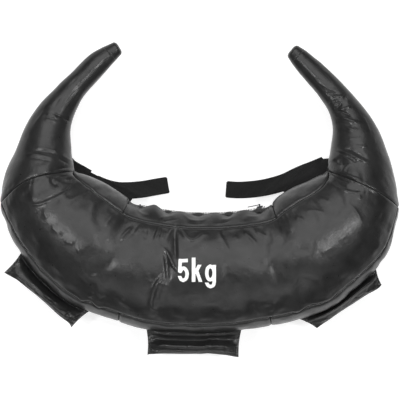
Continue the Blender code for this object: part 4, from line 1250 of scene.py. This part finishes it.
# Bonded nylon thread: twisted filaments with a soft sheen, a little greyer than the vinyl, so that each stitch shows.
# The twist is drawn coarser than real
thread = mottled("bondedNylonThread", {"Roughness": 0.55, "Sheen Weight": 0.1}, 0.0006, {"Detail": 2},
                 ("#1c1c1c", "#3e3e3e"))


stitches = {
    "length": 0.0026, "thick": 0.0006, "pitch": 0.0036,
    "lift": 0.0001,
    "zipSetback": 0.0165,    # metres from the middle of the inner gusset to the row beside the zip
    "gripEnd": 0.93,         # share of half a grip's length at which its end is sewn shut
}


def addStitches(name, paths, body):
    size = (stitches["length"], stitches["thick"], stitches["thick"])
    repeatAlong(name, repeatRound, paths, {"Spacing": stitches["pitch"], "Size": size}, thread, body, "webbing")


zipRow = np.linspace(bag["innerCross"][0] + 0.1, bag["innerCross"][1] - 0.1, 200)[:, None]
zipReach = tapeReach(zipRow, stitches["zipSetback"])
addStitches("zipStitches", [skinGrid(zipRow, 0.5 + sign * zipReach, drop=-stitches["lift"])[:, 0] for sign in (1, -1)],
            "bag")
for side, points in gripPoints.items():
    last = len(points) - 1
    ends = [round(last * (1 + sign * stitches["gripEnd"]) / 2) for sign in (-1, 1)]
    addStitches(f"{side}GripStitches", [points[end, 3:gripForm["columns"] - 1] for end in ends], f"{side}_grip")
print("stitches made")


def webbingPiece(name, points, body, replaced):
    # rows along the webbing, columns across it, with its lay as a UV map in metres
    rows, columns = points.shape[:2]
    across = np.linalg.norm(np.diff(points, axis=1), axis=-1)
    u = np.concatenate([np.zeros((rows, 1)), np.cumsum(across, axis=1)], axis=1)
    step = np.linalg.norm(np.diff(points.mean(axis=1), axis=0), axis=-1)
    v = np.concatenate([[0], np.cumsum(step)])[:, None] * np.ones((1, columns))
    lift = np.zeros(points.shape)
    lift[..., 2] = straps["ribHeight"] * np.sin(v * 6.2832 / straps["ribPitch"])
    mesh = meshFrom(name, (points + lift).reshape(-1, 3), gridFaces(rows, columns))
    layer = mesh.uv_layers.new(name="lay")
    flat = np.stack([u, v], axis=-1).reshape(-1, 2)
    corners = np.empty(len(mesh.loops), dtype=int)
    mesh.loops.foreach_get("vertex_index", corners)
    layer.data.foreach_set("uv", flat[corners].reshape(-1))
    if sum(polygon.normal.z for polygon in mesh.polygons) < 0:
        mesh.flip_normals()
    made = thicken(addPiece(name, mesh, webbing, body, "webbing", replaced), straps["thickness"], offset=0)
    bevel = made.modifiers.new("edge", "BEVEL")
    bevel.width = straps["bevel"]
    bevel.segments = 2
    bevel.limit_method = "ANGLE"
    bevel.angle_limit = math.radians(50)
    return applied(made)


def crossing(line, point, normal):
    # the part of a plan line past a fold, starting on the fold itself
    away = (line - point) @ normal
    first = int(np.nonzero(away > 0)[0][0])
    share = away[first - 1] / (away[first - 1] - away[first])
    return np.vstack([line[first - 1] + (line[first] - line[first - 1]) * share, line[first:]])


bends = {}


def addStrap(side):
    # one length of webbing: its sewn root under the bag's edge, the fold that it turns on, and the tail
    values = straps[side]
    half = straps["width"] / 2
    centre = smoothCurve(np.array(values["line"]) * bag["width"], 240)
    step = unitSteps(centre)
    aside = np.stack([-step[:, 1], step[:, 0]], axis=1)
    aside *= np.sign(aside[:, 1:2]) * half
    fold = np.array(values["fold"]) * bag["width"]
    turn = math.radians(values["turn"])
    normal = np.array([-math.sin(turn), math.cos(turn)])
    upper, lower = crossing(centre + aside, fold, normal), crossing(centre - aside, fold, normal)
    upperFold, lowerFold = upper[0], lower[0]
    upper, lower = smoothCurve(upper, straps["tailRows"]), smoothCurve(lower, straps["tailRows"])
    middle, spread = (upper + lower) / 2, (upper - lower) / 2
    toEnd = np.linalg.norm(middle - middle[-1], axis=1)
    rounded = np.clip(1 - toEnd / straps["corner"], 0, 1)
    cut = straps["corner"] * (1 - np.sqrt(1 - rounded ** 2)) / half
    spread = spread * (1 - cut)[:, None]
    part = np.linspace(-1, 1, straps["columns"])[None, :, None]
    plan = middle[:, None] + spread[:, None] * part
    farthest = max(((plan - fold) @ normal).max(), 0.01)
    fall = (straps["foldLevel"] - straps["thickness"] - straps["floorGap"]) / farthest
    reach = np.linspace(0, 1, len(middle))[:, None]
    wave = straps["wave"] * np.sin(reach * straps["waves"] + part[..., 0] * 1.1) * smooth(reach / straps["waveStart"])
    fromEdge = half - np.abs(part[..., 0]) * half
    selvage = straps["selvageDrop"] * smooth((straps["selvage"] - fromEdge) / straps["selvage"])

    def laid(plan):
        return np.concatenate([plan, (straps["foldLevel"] - fall * ((plan - fold) @ normal))[..., None]], axis=-1)

    tail = laid(plan)
    tail[..., 2] += np.maximum(wave, 0) - selvage
    share = (part[0] + 1) / 2
    sewn = surface(values["root"][1] + (values["root"][0] - values["root"][1]) * share[:, 0], -straps["rootAngle"],
                   -straps["rootGap"] - straps["thickness"] / 2)
    foldLine = lowerFold + (upperFold - lowerFold) * share
    hem = laid(foldLine - normal * straps["hem"])
    rows = [sewn + (hem - sewn) * part for part in np.linspace(0, 1, straps["rootRows"], endpoint=False)]
    rows += [hem + (laid(foldLine) - hem) * part for part in np.linspace(0, 1, straps["hemRows"], endpoint=False)]
    made = webbingPiece(f"{side}Strap", np.concatenate([np.array(rows), tail]), "bag",
                        (f"{side}_strap_root", f"{side}_strap_tail"))
    turnPlace = np.append(fold, straps["foldLevel"])
    away = np.append(normal, 0) * straps["bendReach"]
    bends[made.name] = (f"{side}_strap", turnPlace - away, turnPlace + away)


def addTab(name, line, level):
    # the doubled end of the left strap, which looks out past the bag's edge
    edge = smoothCurve(line, 40)
    step = unitSteps(edge)
    aside = np.stack([-step[:, 1], step[:, 0]], axis=1) * straps["tabWidth"] / shot["point"]
    plan = fromFrame(edge[:, None] + aside[:, None] * np.linspace(0, 1, 12)[None, :, None], level)
    webbingPiece(name, np.concatenate([plan, np.full(plan.shape[:2] + (1,), level)], axis=-1), "bag", ())


for side in ("left", "right"):
    addStrap(side)
for name, line, level in zip(("leftStrapTab", "leftStrapTurn"), straps["tabs"], straps["tabLevels"]):
    addTab(name, line, level)
print("straps made")


# The weight mark, printed on the front panel: the pen lines of each letter, half their width, and where they are cut

mark = {
    "letters": (
        ((((180.2, 260.9), (190, 260.3)), 1.75, (178, 257, 187.8, 265)),
         (((180.3, 260), (179.5, 275)), 1.7, (177, 258.9, 185, 272.3)),
         (((180.4, 271.4), (181.6, 269.3), (183.7, 268.1), (186.0, 270.0), (187.1, 274.0), (186.0, 278.5),
           (183.3, 280.4)), 1.72, (177.6, 266, 190, 283)),
         (((183.3, 280.4), (181.0, 279.2), (179.7, 276.4), (179.3, 274.4)), 1.72, (177.6, 275.9, 190, 283))),
        ((((193.6, 255), (193.6, 284)), 1.85, (191, 257.6, 197, 281.9)),
         (((201.2, 262), (195.0, 273.6)), 1.7, (194, 264.8, 204, 274)),
         (((196.0, 269), (201.4, 284.2)), 1.7, (194, 269, 204, 281.9))),
        ((((210.2, 266.2), (207.7, 268.2), (206.8, 273), (207.7, 277.8), (210.2, 279.8), (213.1, 277.6), (214.2, 273),
           (213.1, 268.4), (210.2, 266.2)), 1.72, (203, 262, 218, 284)),
         (((214.2, 262), (214.2, 281)), 1.8, (211, 264.9, 218, 284)),
         (((214.2, 278), (214.1, 282.6), (213.1, 285.4), (210.5, 286.6)), 1.75, (203, 264, 218, 290)),
         (((210.5, 286.6), (208.3, 285.5), (207.1, 283.6), (206.0, 281.0)), 1.7, (203, 282.6, 218, 290))),
    ),
    "cell": 0.25,            # points of the frame between the corners of the ink's mesh
    "slopeStep": 0.05,
    "shortest": 0.00002,     # metres, edges under this are dissolved
    "lift": 0.0004,
    "thickness": 0.0003,
}

# Screen-printed ink: a flat white film, greyer in specks where the grain of the vinyl took less of it
ink = mottled("screenPrintInk", {"Roughness": 0.5}, 0.0009, {"Detail": 4}, ("#e3e3e1", "#fbfbfa"), stops=(0.25, 0.6))


def inkAway(points, strokes):
    # how far points of the frame lie outside the pen lines of a letter, less than zero inside
    away = np.full(len(points), 9.0)
    x, y = points.T
    for line, half, (left, top, right, bottom) in strokes:
        curve = smoothCurve(line, 40)
        nearest = np.full(len(points), 9.0)
        for start, end in zip(curve[:-1], curve[1:]):
            run = end - start
            share = np.clip((points - start) @ run / (run @ run), 0, 1)
            nearest = np.minimum(nearest, np.linalg.norm(points - start - share[:, None] * run, axis=1))
        outside = np.maximum.reduce([left - x, x - right, top - y, y - bottom])
        away = np.minimum(away, np.maximum(nearest - half, outside))
    return away


def addLetter(work, panel, strokes):
    corners = np.array([stroke[2] for stroke in strokes])
    x = np.arange(corners[:, 0].min(), corners[:, 2].max(), mark["cell"])
    y = np.arange(corners[:, 1].min(), corners[:, 3].max(), mark["cell"])
    flat = np.stack(gridOf(x, y), axis=-1).reshape(-1, 2)
    away = inkAway(flat, strokes)
    kept = away.reshape(len(x), len(y)) < 0
    cells = kept[:-1, :-1] | kept[1:, :-1] | kept[:-1, 1:] | kept[1:, 1:]
    step = mark["slopeStep"]
    slope = np.stack([inkAway(flat + way, strokes) - inkAway(flat - way, strokes)
                      for way in np.eye(2) * step], axis=1) / (2 * step)
    slope /= np.maximum(np.linalg.norm(slope, axis=1, keepdims=True), 0.2)
    flat = flat - slope * np.maximum(away, 0)[:, None]
    plan = fromFrame(flat)
    eye = camera.location.copy()
    made = {}

    def corner(i, j):
        index = i * len(y) + j
        if index not in made:
            seen = Vector((*plan[index], shot["edgeLevel"]))
            _, place, _, _ = panel.ray_cast(eye, (seen - eye).normalized())
            made[index] = work.verts.new(place + Vector((0, 0, mark["lift"])))
        return made[index]

    for i, j in np.argwhere(cells):
        work.faces.new((corner(i, j), corner(i, j + 1), corner(i + 1, j + 1), corner(i + 1, j)))


def addMark():
    panel = bpy.data.objects["frontPanel"]
    work = bmesh.new()
    for strokes in mark["letters"]:
        addLetter(work, panel, strokes)
    bmesh.ops.dissolve_degenerate(work, dist=mark["shortest"], edges=work.edges)
    for face in work.faces:
        face.normal_update()
        if face.normal.z < 0:
            face.normal_flip()
    mesh = bpy.data.meshes.new("weightMark")
    work.to_mesh(mesh)
    work.free()
    shadeSmooth(mesh)
    thicken(addPiece("weightMark", mesh, ink, "bag", "leatherette"), mark["thickness"], offset=1.0)


addMark()
print("weight mark printed")


# Finishes of what stays from the solids

# Die-cast zinc alloy, painted black: a dull dark metal, brighter in scuffs where hands have worn the paint
zipMetal = mottled("paintedZincAlloy", {"Metallic": 0.9, "Roughness": 0.38}, 0.0025, {"Detail": 5, "Roughness": 0.65},
                   ("#1f1f20", "#4c4c4e"), stops=(0.35, 0.75), relief=(0.3, 0.0001))

# Carded polyester wadding: loose pale fibres, matt, fuzzy at the edge and softly lumpy
fleece = mottled("polyesterWadding", {"Roughness": 0.95, "Sheen Weight": 0.3}, 0.003,
                 {"Detail": 6, "Roughness": 0.7, "Distortion": 1.2}, ("#b9b7b0", "#e4e2dc"), relief=(0.8, 0.0015))

# Woven polypropylene sack: flat pale slats over and under one another, with a slight gloss
sandCloth, tree, shader, coords = startMaterial("wovenPolypropyleneSack", {"Roughness": 0.6})
slats = node(tree, "ShaderNodeTexBrick", {"offset": 0.5},
             {"Scale": 1 / 0.006, "Mortar Size": 0.04, "Color1": linear("#c9c6bb"), "Color2": linear("#b5b2a6"),
              "Mortar": linear("#8f8c82")}, {"Vector": coords})
tree.links.new(slats.outputs["Color"], shader.inputs["Base Color"])
bump = node(tree, "ShaderNodeBump", {}, {"Strength": 0.5, "Distance": 0.0004}, {"Height": slats.outputs["Fac"]})
tree.links.new(bump.outputs["Normal"], shader.inputs["Normal"])

finishes = {
    "zip_stop_left": zipMetal, "zip_stop_right": zipMetal, "zip_slider": zipMetal, "zip_pull": zipMetal,
    "left_sand_pouch": sandCloth, "middle_sand_pouch": sandCloth, "right_sand_pouch": sandCloth,
}
for name, material in finishes.items():
    solid = frame["nodes"][name]
    solid.data.materials.clear()
    solid.data.materials.append(material)
waddingFill.data.materials.append(fleece)


# Floor, light and finish

studio = {
    "floorSize": 6,
    "floorLevel": -0.0005,
    "floorLift": 0.75,
    "world": 0.10,
    "lampAim": (0, 0, 0.05),
    # name, place, size and power of each lamp
    "lamps": (("leftLamp", (-1.3, 0.0, 3.2), (0.25, 0.25), 32.0),
              ("rightLamp", (1.3, 0.0, 3.2), (0.25, 0.25), 32.0),
              ("skyLamp", (0.0, 1.9, 3.1), (3.0, 3.2), 84.0),
              ("frontLamp", (0.0, -2.4, 2.6), (3.0, 1.6), 26.0)),
}

# Paper on a roll: pale, matt and almost even. A glow that only the eye sees lifts it to the white of the photograph
paper = mottled("palePaperSweep", {"Roughness": 0.95}, 0.05, {"Detail": 2}, ("#b4b4b4", "#b8b8b8"))
tree = paper.node_tree
ray = node(tree, "ShaderNodeLightPath")
seen = ray.outputs["Is Camera Ray"]
for other in ("Is Glossy Ray", "Is Transmission Ray"):
    seen = node(tree, "ShaderNodeMath", {"operation": "MAXIMUM"}, {}, {0: seen, 1: ray.outputs[other]}).outputs[0]
lift = node(tree, "ShaderNodeMath", {"operation": "MULTIPLY"}, {1: studio["floorLift"]}, {0: seen})
glow = node(tree, "ShaderNodeEmission", {}, {"Color": (1, 1, 1, 1)}, {"Strength": lift.outputs[0]})
matt = tree.nodes["Principled BSDF"]
both = node(tree, "ShaderNodeAddShader", {}, {}, {0: matt.outputs["BSDF"], 1: glow.outputs["Emission"]})
tree.links.new(both.outputs["Shader"], tree.nodes["Material Output"].inputs["Surface"])
side, low = studio["floorSize"] / 2, studio["floorLevel"]
floorMesh = meshFrom("floor", [(-side, -side, low), (side, -side, low), (side, side, low), (-side, side, low)],
                     [(0, 1, 2, 3)])
floor = bpy.data.objects.new("floor", floorMesh)
floorMesh.materials.append(paper)
scene.collection.objects.link(floor)

world = bpy.data.worlds.new("studio")
scene.world = world
world.use_nodes = True
background = world.node_tree.nodes["Background"]
background.inputs["Color"].default_value = (1, 1, 1, 1)
background.inputs["Strength"].default_value = studio["world"]

for name, place, size, power in studio["lamps"]:
    data = bpy.data.lights.new(name, "AREA")
    data.shape = "RECTANGLE"
    data.size, data.size_y = size
    data.energy = power
    lamp = bpy.data.objects.new(name, data)
    lamp.location = place
    lamp.rotation_euler = (Vector(studio["lampAim"]) - Vector(place)).to_track_quat("-Z", "Y").to_euler()
    scene.collection.objects.link(lamp)

scene.view_settings.view_transform = "Standard"

for made in visual.objects:
    body, slot, replaced = made["rides"]
    if made.name in bends:
        other, start, end = bends[made.name]
        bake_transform(made)
    else:
        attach(made, body)
    if replaced:
        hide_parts(*replaced.split(","))
    del made["rides"]
